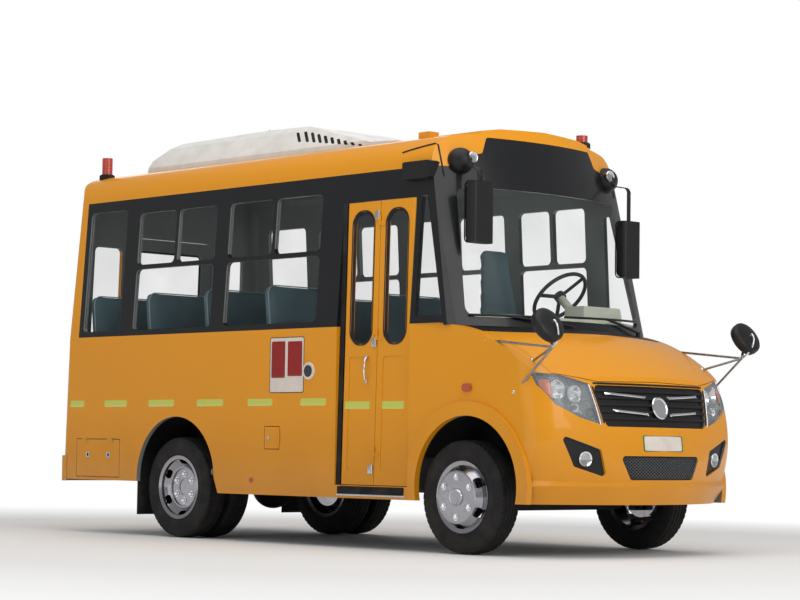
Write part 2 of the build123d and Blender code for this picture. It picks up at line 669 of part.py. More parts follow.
with BuildPart() as hood:
    add(nose_shell)
    add(hood_prism(0), mode=Mode.INTERSECT)
    for side in (-1, 1):
        span = sorted((side * HOOD_KNUCKLE[0], side * (HOOD_KNUCKLE[1] - SEAT_EASE)))
        rod_y(*HOOD_HINGE, HOOD_HINGE_R, span)
        block((HOOD_HINGE[0], HOOD_HINGE[0] + 50), span, (HOOD_HINGE[1] - HOOD_HINGE_R, HOOD_HINGE[1] - 1))
save(hood.part, "hood")

with BuildPart() as cowl:
    add(nose_shell)
    add(cowl_zone, mode=Mode.INTERSECT)
    add(above_base.part, mode=Mode.SUBTRACT)
    for side in (-1, 1):
        span = sorted((side * (HOOD_KNUCKLE[1] + SEAT_EASE), side * HOOD_KNUCKLE[2]))
        rod_y(*HOOD_HINGE, HOOD_HINGE_R, span)
        block((HOOD_HINGE[0] - 40, HOOD_HINGE[0]), span, (HOOD_HINGE[1] - HOOD_HINGE_R - 3, HOOD_HINGE[1] - 2))
        pocket = sorted((side * (HOOD_KNUCKLE[0] - 5), side * (HOOD_KNUCKLE[1] + SEAT_EASE)))
        rod_y(*HOOD_HINGE, HOOD_HINGE_R + 4, pocket, mode=Mode.SUBTRACT)
        block((HOOD_HINGE[0], HOOD_HINGE[0] + 60), pocket, (HOOD_HINGE[1] - HOOD_HINGE_R - 4, HOOD_HINGE[1] + 40),
              mode=Mode.SUBTRACT)
save(cowl.part, "cowl_panel")

WIPER_OFF = 14.0         # a blade's middle stands this far ahead of the glass
WIPERS = (               # pivot x, y and foot height, then y, z of the blade's ends and middle
    ((1942, -80, 1490), (-862, 1584), (-362, 1586), (-620, 1586)),
    ((1808, 752, 1480), (-128, 1597), (790, 1614), (330, 1606)),
)
with BuildPart() as wipers:
    for foot, end_a, end_b, middle in WIPERS:
        on_glass = [(shield_x(y, z) + WIPER_OFF, y, z) for y, z in (end_a, middle, end_b)]
        head = (foot[0], foot[1], 1530)
        half_y = (foot[1] + middle[0]) / 2
        half_z = (head[2] + middle[1]) / 2
        halfway = (shield_x(half_y, half_z) + 2 * WIPER_OFF, half_y, half_z)
        with BuildPart(mode=Mode.PRIVATE) as wiper:
            for points, radius in ((on_glass, 8), ((head, halfway, on_glass[1]), 9)):
                with BuildLine() as run:
                    ThreePointArc(*points)
                with BuildSketch(Plane(origin=points[0], z_dir=run.edges()[0] % 0)):
                    Circle(radius)
                sweep(path=run.edges())
            with Locations(foot):
                Cylinder(15, 1536 - foot[2], align=(Align.CENTER, Align.CENTER, Align.MIN))
            add([cowl.part, outer_form], mode=Mode.SUBTRACT)
        add(wiper.part.solids().sort_by(SortBy.VOLUME)[-1])
save(wipers.part, "wipers")

GRILLE_RELIEF = 14.0
with BuildPart() as clip_core:
    add(clip_form(GRILLE_RELIEF))
with BuildPart() as grille:
    add(nose_shell)
    add(clip_core.part, mode=Mode.INTERSECT)
    add(grille_prism, mode=Mode.INTERSECT)
    for z in (905, 950, 995, 1040, 1085):
        with BuildPart(mode=Mode.PRIVATE) as slat:
            add(nose_shell)
            add(grille_prism, mode=Mode.INTERSECT)
            block((2200, 2800), (-600, 600), (z - 8, z + 8), mode=Mode.INTERSECT)
        add(slat.part)

with BuildPart() as lower_grille:
    add(nose_shell)
    add(clip_core.part, mode=Mode.INTERSECT)
    add(lower_grille_prism, mode=Mode.INTERSECT)
with BuildPart() as grilles:
    add([grille.part, lower_grille.part])
save(grilles.part, "grilles")

with BuildPart() as headlights:
    for prism in lamp_prisms:
        with BuildPart(mode=Mode.PRIVATE) as lamp:
            add(nose_shell)
            add(prism, mode=Mode.INTERSECT)
        add(lamp.part)
save(headlights.part, "headlights")

with BuildPart() as fog_lamps:
    for prism in fog_prisms:
        with BuildPart(mode=Mode.PRIVATE) as lamp:
            add(nose_shell)
            add(clip_core.part, mode=Mode.INTERSECT)
            add(prism, mode=Mode.INTERSECT)
        add(lamp.part)
save(fog_lamps.part, "fog_lamp_housings")

# ----------------------------------------------------------------------------------------------------------
# Chassis: ladder frame, engine, axles, tank, exhaust, floor and wheel houses
# ----------------------------------------------------------------------------------------------------------
RAIL_Y = 400.0           # middle of a frame rail
RAIL_W = 60.0
RAIL_H = 150.0
RAIL_Z = 570.0           # underside of the rails
RAIL_T = 8.0
RAIL_X = (-2560.0, 2300.0)
BEARER_Z = RAIL_Z + RAIL_H
FLOOR_UNDER = FLOOR_Z - FLOOR_T
BEARERS = (-2450, -1960, -690, -320, 160, 1288)       # body bearers, clear of the wheel houses and the steps
CROSS_TUBES = (-2500, -1950, -700, 0, 700, 1240, 2258)
CROSS_TUBE_R = 38.0
TOW_EYE = (2350.0, 645.0)            # x and middle height of the towing eyes, on plates ahead of the rails
TOW_EYE_R = 16.0
TOW_PLATE = 24.0
JACK_PADS = (960.0, -420.0)
JACK_PAD_T = 12.0
SPRING_HANGERS = ((FRONT_AXLE_X - 560, 40), (FRONT_AXLE_X + 520, 40), (REAR_AXLE_X - 620, 40), (REAR_AXLE_X + 620, 40))
with BuildPart() as chassis:
    for side in (-1, 1):
        outer = side * (RAIL_Y + RAIL_W / 2)
        inner = side * (RAIL_Y - RAIL_W / 2)
        web = sorted((outer, outer - side * RAIL_T))
        block(RAIL_X, web, (RAIL_Z, RAIL_Z + RAIL_H))
        shelf = sorted((outer - side * (RAIL_T + SEAT_EASE), inner))
        block(RAIL_X, shelf, (RAIL_Z, RAIL_Z + RAIL_T))
        block(RAIL_X, shelf, (RAIL_Z + RAIL_H - RAIL_T, RAIL_Z + RAIL_H))
        for x, drop in SPRING_HANGERS:
            block((x - 30, x + 30), sorted((outer - side * 20, outer + side * 40)),
                  (RAIL_Z - drop - 40, RAIL_Z - SEAT_EASE))
        with BuildPart(mode=Mode.PRIVATE) as tow_plate:
            block((RAIL_X[1] + SEAT_EASE, TOW_EYE[0] + 45), (side * RAIL_Y - 45, side * RAIL_Y + 45),
                  (TOW_EYE[1] - TOW_PLATE / 2, TOW_EYE[1] + TOW_PLATE / 2))
            with Locations((TOW_EYE[0], side * RAIL_Y, TOW_EYE[1])):
                Cylinder(TOW_EYE_R, TOW_PLATE + 2, mode=Mode.SUBTRACT)
        add(tow_plate.part)
        for x in JACK_PADS:
            block((x - 45, x + 45), (side * RAIL_Y - 40, side * RAIL_Y + 40), (RAIL_Z - JACK_PAD_T, RAIL_Z - SEAT_EASE))
    reach = RAIL_Y + RAIL_W / 2 - RAIL_T - SEAT_EASE
    for x in CROSS_TUBES:
        rod_y(x, RAIL_Z + 105, CROSS_TUBE_R - 4, (-reach, reach))
    for x in BEARERS:
        inner = -380 if DOOR_OPEN_X0 < x < DOOR_OPEN_X1 else WALL - HALF_WIDTH + SEAT_EASE
        block((x - 25, x + 25), (inner, HALF_WIDTH - WALL - SEAT_EASE), (BEARER_Z + SEAT_EASE, FLOOR_UNDER - SEAT_EASE))
save(chassis.part, "chassis_frame")

ENGINE_X = (1760.0, 2210.0)
with BuildPart() as engine:
    with BuildSketch(Plane.YZ.offset(ENGINE_X[0])):
        Polygon((-180, 500), (180, 500), (230, 620), (RAIL_Y - RAIL_W / 2 - SEAT_EASE, 640), (RAIL_Y - RAIL_W / 2 - SEAT_EASE, 690),
                (260, 700), (220, 1090), (-220, 1090), (-260, 700), (SEAT_EASE + RAIL_W / 2 - RAIL_Y, 690),
                (SEAT_EASE + RAIL_W / 2 - RAIL_Y, 640), (-230, 620), align=None)
    extrude(amount=ENGINE_X[1] - ENGINE_X[0])
save(engine.part, "engine")

SPRING_Y = 440.0
SPRING_W = 60.0


def leaf_spring(axle_x, half_span, eye_z, low_z, thickness):
    """A pair of leaf packs: an arc hung between its eyes, thick under the axle seat."""
    with BuildPart(mode=Mode.PRIVATE) as springs:
        for side in (-1, 1):
            with BuildSketch(Plane.XZ.offset(-side * SPRING_Y)):
                with BuildLine():
                    ends = [(axle_x - half_span, eye_z), (axle_x + half_span, eye_z)]
                    ThreePointArc(ends[0], (axle_x, low_z), ends[1])
                    Line(ends[1], (ends[1][0], eye_z - 12))
                    ThreePointArc((ends[1][0], eye_z - 12), (axle_x, low_z - thickness), (ends[0][0], eye_z - 12))
                    Line((ends[0][0], eye_z - 12), ends[0])
                make_face()
            extrude(amount=SPRING_W / 2, both=True)
    return springs.part


KINGPIN_R = 14.0
PIN_CLEAR = 0.05
BOSS_R = 34.0
BOSS_H = 80.0
with BuildPart() as front_axle:
    with BuildSketch(Plane.YZ.offset(FRONT_AXLE_X - BOSS_R)):
        Polygon((-KINGPIN_Y, TYRE_R + 40), (-KINGPIN_Y, TYRE_R - 40), (-690, TYRE_R - 45), (-560, 285),
                (560, 285), (690, TYRE_R - 45), (KINGPIN_Y, TYRE_R - 40), (KINGPIN_Y, TYRE_R + 40),
                (660, TYRE_R + 40), (540, 370), (-540, 370), (-660, TYRE_R + 40), align=None)
    extrude(amount=2 * BOSS_R)
    add(leaf_spring(FRONT_AXLE_X - 20, 540, RAIL_Z - 80, 415, 46))
    for side in (-1, 1):
        with Locations((FRONT_AXLE_X, side * KINGPIN_Y, TYRE_R)):
            Cylinder(BOSS_R, BOSS_H)
            Cylinder(KINGPIN_R + PIN_CLEAR, BOSS_H + 2, mode=Mode.SUBTRACT)
save(front_axle.part, "front_axle")

AXLE_TUBE_R = 55.0
SPINDLE_R = 36.0
REAR_HUB_IN = 560.0
with BuildPart() as rear_axle:
    rod_y(REAR_AXLE_X, TYRE_R, AXLE_TUBE_R, (-REAR_HUB_IN, REAR_HUB_IN))
    rod_y(REAR_AXLE_X, TYRE_R, SPINDLE_R, (-REAR_OUTER_Y + 10, REAR_OUTER_Y - 10))
    with Locations((REAR_AXLE_X, 0, TYRE_R)):
        Sphere(165)
        with Locations(Location((150, 0, 30), (0, 86, 0))):
            Cone(70, 45, 160)
    add(leaf_spring(REAR_AXLE_X, 600, RAIL_Z - 80, TYRE_R + AXLE_TUBE_R + 44, 50))
save(rear_axle.part, "rear_axle")

shaft_start = Vector(REAR_AXLE_X + 230, 0, TYRE_R + 36)
shaft_end = Vector(ENGINE_X[0] - 420, 0, 590)
shaft_run = shaft_end - shaft_start
with BuildPart() as drive_line:
    with BuildSketch(Plane(origin=shaft_start, z_dir=shaft_run)):
        Circle(42)
    extrude(amount=shaft_run.length)
    with BuildSketch(Plane.YZ.offset(shaft_end.X - 8)):
        with Locations((0, 600)):
            RectangleRounded(210, 220, 40)
    with BuildSketch(Plane.YZ.offset(ENGINE_X[0])):
        with Locations((0, 640)):
            RectangleRounded(380, 260, 60)
    loft()
save(drive_line.part, "gearbox_and_shaft")

with BuildPart() as tank:
    with BuildSketch(Plane.YZ.offset(-500)):
        with Locations((690, 560)):
            RectangleRounded(440, 300, 60)
    extrude(amount=800)
    for x in (-320, 160):
        block((x - 20, x + 20), (520, 860), (705, BEARER_Z))
save(tank.part, "fuel_tank")

with BuildPart() as exhaust:
    with BuildLine() as exhaust_run:
        FilletPolyline((1700, 250, 520), (1200, 250, 480), (300, -560, 480), (-500, -620, 500), radius=150)
    with BuildSketch(Plane(origin=(1700, 250, 520), z_dir=(exhaust_run.edges()[0] % 0))):
        Circle(32)
    sweep()
    with Locations((-100, -592, 486)):
        Cylinder(95, 520, rotation=(0, 90, 0))
    with BuildLine() as tail_run:
        FilletPolyline((-500, -620, 500), (-760, -700, 500), (-800, -960, 500), radius=60)
    with BuildSketch(Plane(origin=(-500, -620, 500), z_dir=(tail_run.edges()[0] % 0))):
        Circle(32)
    sweep(path=tail_run.edges())
    for x in (-320, 160):
        block((x - 15, x + 15), (-612, -582), (570, BEARER_Z))
save(exhaust.part, "exhaust")

HOUSE_IN = 490.0         # inner wall of a wheel house
HOUSE_T = 10.0
HOUSE_GROW = 34.0        # the house stands this far outside the arch
FLOOR_FRONT_X = 1690.0
houses = [(x, z, radius + HOUSE_GROW) for x, z, radius in (ARCH_FRONT, ARCH_REAR)]


def house_solid(extra):
    """The four wheel houses as solid half drums, grown by extra."""
    with BuildPart(mode=Mode.PRIVATE) as drums:
        for x, z, radius in houses:
            for side in (-1, 1):
                y_range = sorted((side * (HOUSE_IN - extra), side * (HALF_WIDTH - WALL + 200)))
                rod_y(x, z, radius + extra, y_range)
                block((x - radius - extra, x + radius + extra), y_range, (z - 300, z))
    return drums.part


house_cut = house_solid(HOUSE_T)
with BuildPart() as wheel_houses:
    add(house_cut)
    add(house_solid(0), mode=Mode.SUBTRACT)
    block((-2600, 2600), (-(HALF_WIDTH - WALL), HALF_WIDTH - WALL), (RAIL_Z + 60, 1200), mode=Mode.INTERSECT)
    add(front_clip.part, mode=Mode.SUBTRACT)
save(wheel_houses.part, "wheel_houses")

STEP_HEIGHTS = (426.0, 628.0)
STEP_Y = (-(HALF_WIDTH - WALL), -640.0, -(RAIL_Y + RAIL_W / 2 + 18))
PLATE = 12.0
WELL_X = (DOOR_OPEN_X0 - 10, DOOR_OPEN_X1 + 8)
WELL_SIDE = 8.0


def house_reach(arch_row):
    """How far a wheel house reaches along X from its middle at the floor's underside."""
    x, z, radius = arch_row
    return math.sqrt((radius + HOUSE_T)**2 - (FLOOR_UNDER - z)**2) + SEAT_EASE


SIDE_IN = HALF_WIDTH - WALL - SEAT_EASE
BETWEEN = HOUSE_IN - HOUSE_T - SEAT_EASE
REAR_HOUSE = (houses[1][0] - house_reach(houses[1]), houses[1][0] + house_reach(houses[1]))
FRONT_HOUSE_X = houses[0][0] - house_reach(houses[0])
FLOOR_SHEETS = (             # x, x, y, y of each sheet
    (rear_x(FLOOR_Z), REAR_HOUSE[0], -SIDE_IN, SIDE_IN),
    (REAR_HOUSE[0], REAR_HOUSE[1], -BETWEEN, BETWEEN),
    (REAR_HOUSE[1], WELL_X[0] - WELL_SIDE, -SIDE_IN, SIDE_IN),
    (WELL_X[0] - WELL_SIDE, WELL_X[1] + WELL_SIDE, STEP_Y[2] + PLATE + SEAT_EASE, SIDE_IN),
    (WELL_X[1] + WELL_SIDE, FRONT_HOUSE_X, -SIDE_IN, SIDE_IN),
    (FRONT_HOUSE_X, FLOOR_FRONT_X, -BETWEEN, BETWEEN),
)
WELL_PLATES = (              # y, y, z, z of the treads and risers right across the stairwell
    (STEP_Y[0], STEP_Y[1], STEP_HEIGHTS[0] - PLATE, STEP_HEIGHTS[0]),
    (STEP_Y[1], STEP_Y[1] + PLATE, STEP_HEIGHTS[0] - PLATE, STEP_HEIGHTS[1] - PLATE),
    (STEP_Y[1], STEP_Y[2], STEP_HEIGHTS[1] - PLATE, STEP_HEIGHTS[1]),
    (STEP_Y[2], STEP_Y[2] + PLATE, STEP_HEIGHTS[1] - PLATE, FLOOR_Z),
)
WELL_SIDES = (               # y, y, z, z of the plates that close the stairwell's ends
    (STEP_Y[0], STEP_Y[1], STEP_HEIGHTS[0] - PLATE, FLOOR_Z),
    (STEP_Y[1], STEP_Y[2] + PLATE, STEP_HEIGHTS[1] - PLATE, FLOOR_Z),
)
FIREWALL_T = 12.0
firewall_rows = (            # z, z, half width, lean of the plate from foot to head
    (FLOOR_UNDER, 940, BETWEEN, 0),
    (940, 1150, 930, 0),
    (1150, 1440, 930, 148),
)
firewall_plates = []
for z0, z1, half, lean in firewall_rows:
    foot = FLOOR_FRONT_X + SEAT_EASE
    with BuildPart() as plate:
        add(prism_xz([(foot, z0 + SEAT_EASE), (foot + FIREWALL_T, z0 + SEAT_EASE), (foot + FIREWALL_T + lean, z1),
                      (foot + lean, z1)], (-half, half)))
        add(clip_form(CLIP_WALL + 1), mode=Mode.INTERSECT)
    firewall_plates.append(plate.part)
with BuildPart() as floor:
    for x0, x1, y0, y1 in FLOOR_SHEETS:
        with BuildPart(mode=Mode.PRIVATE) as sheet:
            block((x0 + SEAT_EASE, x1), (y0, y1), (FLOOR_UNDER, FLOOR_Z))
            add(inner_form, mode=Mode.INTERSECT)
        add(sheet.part)
    for y0, y1, z0, z1 in WELL_PLATES:
        block((WELL_X[0] + SEAT_EASE, WELL_X[1] - SEAT_EASE), (y0 + SEAT_EASE, y1), (z0 + SEAT_EASE, z1))
    for y0, y1, z0, z1 in WELL_SIDES:
        for x in (WELL_X[0] - WELL_SIDE, WELL_X[1]):
            block((x + SEAT_EASE, x + WELL_SIDE), (y0 + SEAT_EASE, y1 - SEAT_EASE), (z0, z1))
    add(firewall_plates)
save(floor.part, "floor")

# ----------------------------------------------------------------------------------------------------------
# Wheels and knuckles
# ----------------------------------------------------------------------------------------------------------
RIM_SEAT_R = 222.0
FLANGE_R = 238.0
RIM_HALF = 80.0
DISC_T = 12.0
DISC_SLOPE_T = 8.0        # a disc is this much smaller on its inner face
SPIN_CLEAR = 0.05


def tyre(x, y):
    """One tyre: flat-topped torus with bulged walls."""
    plane = Plane(origin=(x, y, TYRE_R), x_dir=(0, 1, 0), z_dir=(1, 0, 0))
    half = TYRE_W / 2
    with BuildPart(mode=Mode.PRIVATE) as body:
        with BuildSketch(plane):
            with BuildLine():
                Line((-RIM_HALF + 6, RIM_SEAT_R), (RIM_HALF - 6, RIM_SEAT_R))
                Polyline((RIM_HALF - 6, RIM_SEAT_R), (RIM_HALF - 5, FLANGE_R), (RIM_HALF, FLANGE_R + 4))
                ThreePointArc((RIM_HALF, FLANGE_R + 4), (half, 302), (half - 12, 358))
                Line((half - 12, 358), (half - 24, 371))
                ThreePointArc((half - 24, 371), (0, TYRE_R), (24 - half, 371))
                Line((24 - half, 371), (12 - half, 358))
                ThreePointArc((12 - half, 358), (-half, 302), (-RIM_HALF, FLANGE_R + 4))
                Polyline((-RIM_HALF, FLANGE_R + 4), (5 - RIM_HALF, FLANGE_R), (6 - RIM_HALF, RIM_SEAT_R))
            make_face()
        revolve(axis=Axis((x, y, TYRE_R), (0, 1, 0)))
    return body.part


def wheel(x, y, side, rims, hubs, bore):
    """Rims on one hub, turned about Y from one profile measured outboard from y: rims lists (shift, disc), where disc
    holds (distance, radius) along the outer face; hubs lists (from, to, radius); bore is (from, to, radius)."""
    plane = Plane(origin=(x, y, TYRE_R), x_dir=(0, side, 0), z_dir=(side, 0, 0))
    barrel = [
        (-RIM_HALF - 4, FLANGE_R), (-RIM_HALF + 5, FLANGE_R), (-RIM_HALF + 6, RIM_SEAT_R), (RIM_HALF - 6, RIM_SEAT_R),
        (RIM_HALF - 5, FLANGE_R), (RIM_HALF + 4, FLANGE_R), (RIM_HALF - 2, RIM_SEAT_R - 12), (-RIM_HALF + 2, RIM_SEAT_R - 12),
    ]
    with BuildPart(mode=Mode.PRIVATE) as body:
        with BuildSketch(plane):
            for shift, disc in rims:
                face = disc + [(s - DISC_T, max(r - DISC_SLOPE_T, 30)) for s, r in reversed(disc)]
                Polygon(*[(s + shift, r) for s, r in barrel], align=None)
                Polygon(*[(s + shift, r) for s, r in face], align=None)
            for start, end, radius in hubs:
                Polygon((start, 0), (end, 0), (end, radius), (start, radius), align=None)
        revolve(axis=Axis((x, y, TYRE_R), (0, 1, 0)))
        rod_y(x, TYRE_R, bore[2], sorted((y + side * bore[0], y + side * bore[1])), mode=Mode.SUBTRACT)
        slots = Plane(origin=(x, y, TYRE_R), x_dir=(1, 0, 0), z_dir=(0, 1, 0))
        with BuildSketch(slots.offset(-400)):
            with PolarLocations(SLOT_R, 6, start_angle=30):
                SlotOverall(74, 32, rotation=90)
        extrude(amount=800, mode=Mode.SUBTRACT)
    return body.part


SLOT_R = 193.0
HUB_R = 70.0
FRONT_DISC = [(60, 216), (92, 205), (122, 184), (134, 176), (136, 168), (136, 36)]
REAR_OUT_DISC = [(64, 219), (50, 205), (36, 190), (22, 172), (16, 160), (34, 154), (34, 144), (24, 140), (24, 62),
                 (4, 58), (4, 36)]
REAR_IN_DISC = [(-20, 218), (8, 200), (40, 160), (60, 140), (60, 36)]
STUB_R = 34.0
CAP_R = 53.0
DRUM_R = 150.0
for side, name in ((-1, "right"), (1, "left")):
    with BuildPart() as front_tyre:
        add(tyre(FRONT_AXLE_X, side * FRONT_WHEEL_Y))
    save(front_tyre.part, f"front_tyre_{name}")
    hub_y = side * FRONT_WHEEL_Y
    with BuildPart() as front_rim:
        add(wheel(FRONT_AXLE_X, hub_y, side, [(0, FRONT_DISC)],
                  [(-4, 128, HUB_R), (120, 150, CAP_R), (4, 66, DRUM_R)], (-10, 60, STUB_R + SPIN_CLEAR)))
    save(front_rim.part, f"front_rim_{name}")
    with BuildPart() as knuckle:
        rod_y(FRONT_AXLE_X, TYRE_R, STUB_R, sorted((hub_y + side * 55, hub_y - side * 20)))
        rod_y(FRONT_AXLE_X, TYRE_R, 60, sorted((hub_y - side * 10, hub_y - side * 22)))
        with BuildSketch(Plane.YZ.offset(FRONT_AXLE_X - 32)):
            Polygon((hub_y - side * 12, TYRE_R - 100), (side * KINGPIN_Y - side * 34, TYRE_R - 100),
                    (side * KINGPIN_Y - side * 34, TYRE_R + 100), (hub_y - side * 12, TYRE_R + 100), align=None)
            Polygon((hub_y - side * 21, TYRE_R - 46), (side * KINGPIN_Y - side * 40, TYRE_R - 46),
                    (side * KINGPIN_Y - side * 40, TYRE_R + 46), (hub_y - side * 21, TYRE_R + 46), align=None,
                    mode=Mode.SUBTRACT)
        extrude(amount=64)
        with Locations((FRONT_AXLE_X, side * KINGPIN_Y, TYRE_R)):
            Cylinder(KINGPIN_R, 150)
    save(knuckle.part, f"knuckle_{name}")
    outer_y = side * REAR_OUTER_Y
    inner_y = side * (REAR_OUTER_Y - TWIN_PITCH)
    with BuildPart() as rear_tyres:
        add([tyre(REAR_AXLE_X, outer_y), tyre(REAR_AXLE_X, inner_y)])
    save(rear_tyres.part, f"rear_tyres_{name}")
    with BuildPart() as rear_rims:
        hub_end = REAR_HUB_IN + 6 - REAR_OUTER_Y
        add(wheel(REAR_AXLE_X, outer_y, side, [(0, REAR_OUT_DISC), (-TWIN_PITCH, REAR_IN_DISC)],
                  [(hub_end, 4, HUB_R), (hub_end, 60 - TWIN_PITCH, DRUM_R), (50 - TWIN_PITCH, 18, DRUM_R - 4)],
                  (hub_end - 20, -9.95, SPINDLE_R + SPIN_CLEAR)))
    save(rear_rims.part, f"rear_rims_{name}")

# ----------------------------------------------------------------------------------------------------------
# Roof unit, beacons, bumper, lamps and mirrors
# ----------------------------------------------------------------------------------------------------------
AC_HALF = 560.0
ac_line = [(-2228, 2800), (-2205, 2960), (-1975, 3092), (-965, 3111), (-440, 3093), (390, 2888), (690, 2872),
           (690, 2800)]
with BuildPart() as air_conditioner:
    add(prism_xz(ac_line, (-AC_HALF, AC_HALF)))
    add(prism_yz([(-AC_HALF, 2700), (AC_HALF, 2700), (AC_HALF, 2900), (AC_HALF - 90, 3050), (AC_HALF - 190, 3111),
                  (-AC_HALF + 190, 3111), (-AC_HALF + 90, 3050), (-AC_HALF, 2900)], (-2300, 900)), mode=Mode.INTERSECT)
    add(outer_form, mode=Mode.SUBTRACT)
save(air_conditioner.part, "air_conditioner")

BEACON_R = 42.0
BEACONS = (                                  # x, y, top
    (-2505, -750, 2985),
    (-2505, 750, 2985),
    (1450, 536, 2949),
)
with BuildPart() as beacons:
    for x, y, top in BEACONS:
        with Locations((x, y, top)):
            Cylinder(BEACON_R, 300, align=(Align.CENTER, Align.CENTER, Align.MAX))
    add(outer_form, mode=Mode.SUBTRACT)
    add(hump_form.part, mode=Mode.SUBTRACT)
save(beacons.part, "beacons")

with BuildPart() as rear_bumper:
    with BuildSketch(Plane.XY.offset(400)) as bumper_plan:
        with BuildLine():
            Polyline((-2615, 1004), (-2615, -1004), (-HALF_LENGTH + 60, -1004))
            ThreePointArc((-HALF_LENGTH + 60, -1004), (-HALF_LENGTH + 16, -986), (-HALF_LENGTH, -940))
            Line((-HALF_LENGTH, -940), (-HALF_LENGTH, 940))
            ThreePointArc((-HALF_LENGTH, 940), (-HALF_LENGTH + 16, 986), (-HALF_LENGTH + 60, 1004))
            Line((-HALF_LENGTH + 60, 1004), (-2615, 1004))
        make_face()
    extrude(amount=200)
    add(outer_form, mode=Mode.SUBTRACT)
save(rear_bumper.part, "rear_bumper")

with BuildPart() as tail_lamps:
    for side in (-1, 1):
        block((-HALF_LENGTH, -HALF_LENGTH + 120), sorted((side * 790, side * 915)), (1200, 1460))
    add(outer_form, mode=Mode.SUBTRACT)
save(tail_lamps.part, "tail_lamps")

MIRRORS = (                                  # side, x, y, z, width, height of each driving mirror
    (-1, 1718.0, 775.0, 2275.0, 200.0, 415.0),
    (1, 1700.0, 765.0, 2130.0, 180.0, 405.0),
)
MIRROR_T = 90.0
POD = (1495.0, 742.0, 2640.0)                # rounded pods at the header's ends carry the mirror arms
POD_R = 92.0
ARM_R = 24.0
DOOR_GEAR_BOX = ((1180, 1440), (-985, -880), (2512, 2632))
BODY_GROWTH = 1.0003     # leaves about the play of a bolted piece round the body's outside
seat_form = scale(outer_form, by=BODY_GROWTH)
with BuildPart() as mirrors:
    for side, x, y, z, width, height in MIRRORS:
        with BuildPart(mode=Mode.PRIVATE) as mirror_arm:
            with Locations((x, side * y, z)):
                Box(MIRROR_T, width, height)
            fillet(mirror_arm.edges().filter_by(Axis.Z), 30)
            with Locations((POD[0], side * POD[1], POD[2])):
                Sphere(POD_R)
            with BuildLine() as arm:
                FilletPolyline((POD[0], side * POD[1], POD[2] - 30), (x, side * y, POD[2] - 70),
                               (x, side * y, z + height / 2 - 20), radius=45)
            with BuildSketch(Plane(origin=(POD[0], side * POD[1], POD[2] - 30), z_dir=arm.edges()[0] % 0)):
                Circle(ARM_R)
            sweep(path=arm.edges())
            add(seat_form, mode=Mode.SUBTRACT)
        add(mirror_arm.part)
    with BuildPart(mode=Mode.PRIVATE) as gear_box:
        block(*DOOR_GEAR_BOX)
        fillet(gear_box.edges().filter_by(Axis.Y), 14)
        add(seat_form, mode=Mode.SUBTRACT)
    add(gear_box.part)
save(mirrors.part, "mirrors")

LAMP_POD = (1520.0, 700.0, 2664.0)           # round lamps low on the header, inboard of the pods
OVAL_MARKER = (1831.0, 1095.0)               # x, z of the oval marker on each fender
LOW_MARKER = (-340.0, 448.0)                 # x, z of the small marker low on each side
ROUND_DEVICE = (273.0, 1226.0)               # x, z of the ringed button panel behind the service door
with BuildPart() as small_lamps:
    for side in (-1, 1):
        with BuildPart(mode=Mode.PRIVATE) as header_lamp:
            with Locations((LAMP_POD[0] + 20, side * LAMP_POD[1], LAMP_POD[2])):
                Cylinder(33, 80, rotation=(0, 90, 0))
            add([outer_form, mirrors.part], mode=Mode.SUBTRACT)
        add(header_lamp.part)
        with BuildPart(mode=Mode.PRIVATE) as oval:
            with BuildSketch(Plane.XZ.offset(-side * 1000)):
                with Locations(OVAL_MARKER):
                    SlotOverall(84, 52)
            extrude(amount=side * 60)
            add(clip_form(0), mode=Mode.SUBTRACT)
        add(oval.part)
        rod_y(*LOW_MARKER, 17, sorted((side * HALF_WIDTH, side * (HALF_WIDTH + 8))))
    rod_y(*ROUND_DEVICE, 42, (-HALF_WIDTH - 12, -HALF_WIDTH))
save(small_lamps.part, "small_lamps")

CROSS = (2560.0, 1009.0, 1481.0)
with BuildPart() as cross_mirrors:
    with Locations(Location(CROSS, (0, 60, 50))):
        Cylinder(115, 50)
    elbow = (2565, 965, 1345)
    for foot in ((1960, 940, 1405), (2235, 960, 1060), (2290, 860, 1262)):
        span = Vector(*elbow) - Vector(*foot)
        with BuildSketch(Plane(origin=foot, z_dir=span)):
            Circle(8)
        extrude(amount=span.length)
    riser = Vector(*CROSS) - Vector(*elbow)
    with BuildSketch(Plane(origin=elbow, z_dir=riser)):
        Circle(9)
    extrude(amount=riser.length)
    mirror(about=Plane.XZ)
    add(clip_form(0), mode=Mode.SUBTRACT)
save(cross_mirrors.part, "cross_view_mirrors")

FLAP_X = -1736.0         # stands against the rear wall of each rear house
with BuildPart() as mud_flaps:
    for side in (-1, 1):
        block((FLAP_X, FLAP_X + 8), sorted((side * (HOUSE_IN + 4), side * (HALF_WIDTH - WALL - SEAT_EASE))), (160, 760))
    add(wheel_houses.part, mode=Mode.SUBTRACT)
save(mud_flaps.part, "mud_flaps")

# ----------------------------------------------------------------------------------------------------------
# Inside: dashboard, steering, seats
# ----------------------------------------------------------------------------------------------------------
with BuildPart() as dashboard:
    add(prism_xz([(1560, 1300), (1560, 1480), (1620, 1590), (1800, 1600), (1900, 1520), (1860, 1300)], (-880, 880), 20))
    block((1560, 1740), (250, 650), (1500, 1700))
    add(body_form(WALL + 2), mode=Mode.INTERSECT)
    add(firewall_plates, mode=Mode.SUBTRACT)

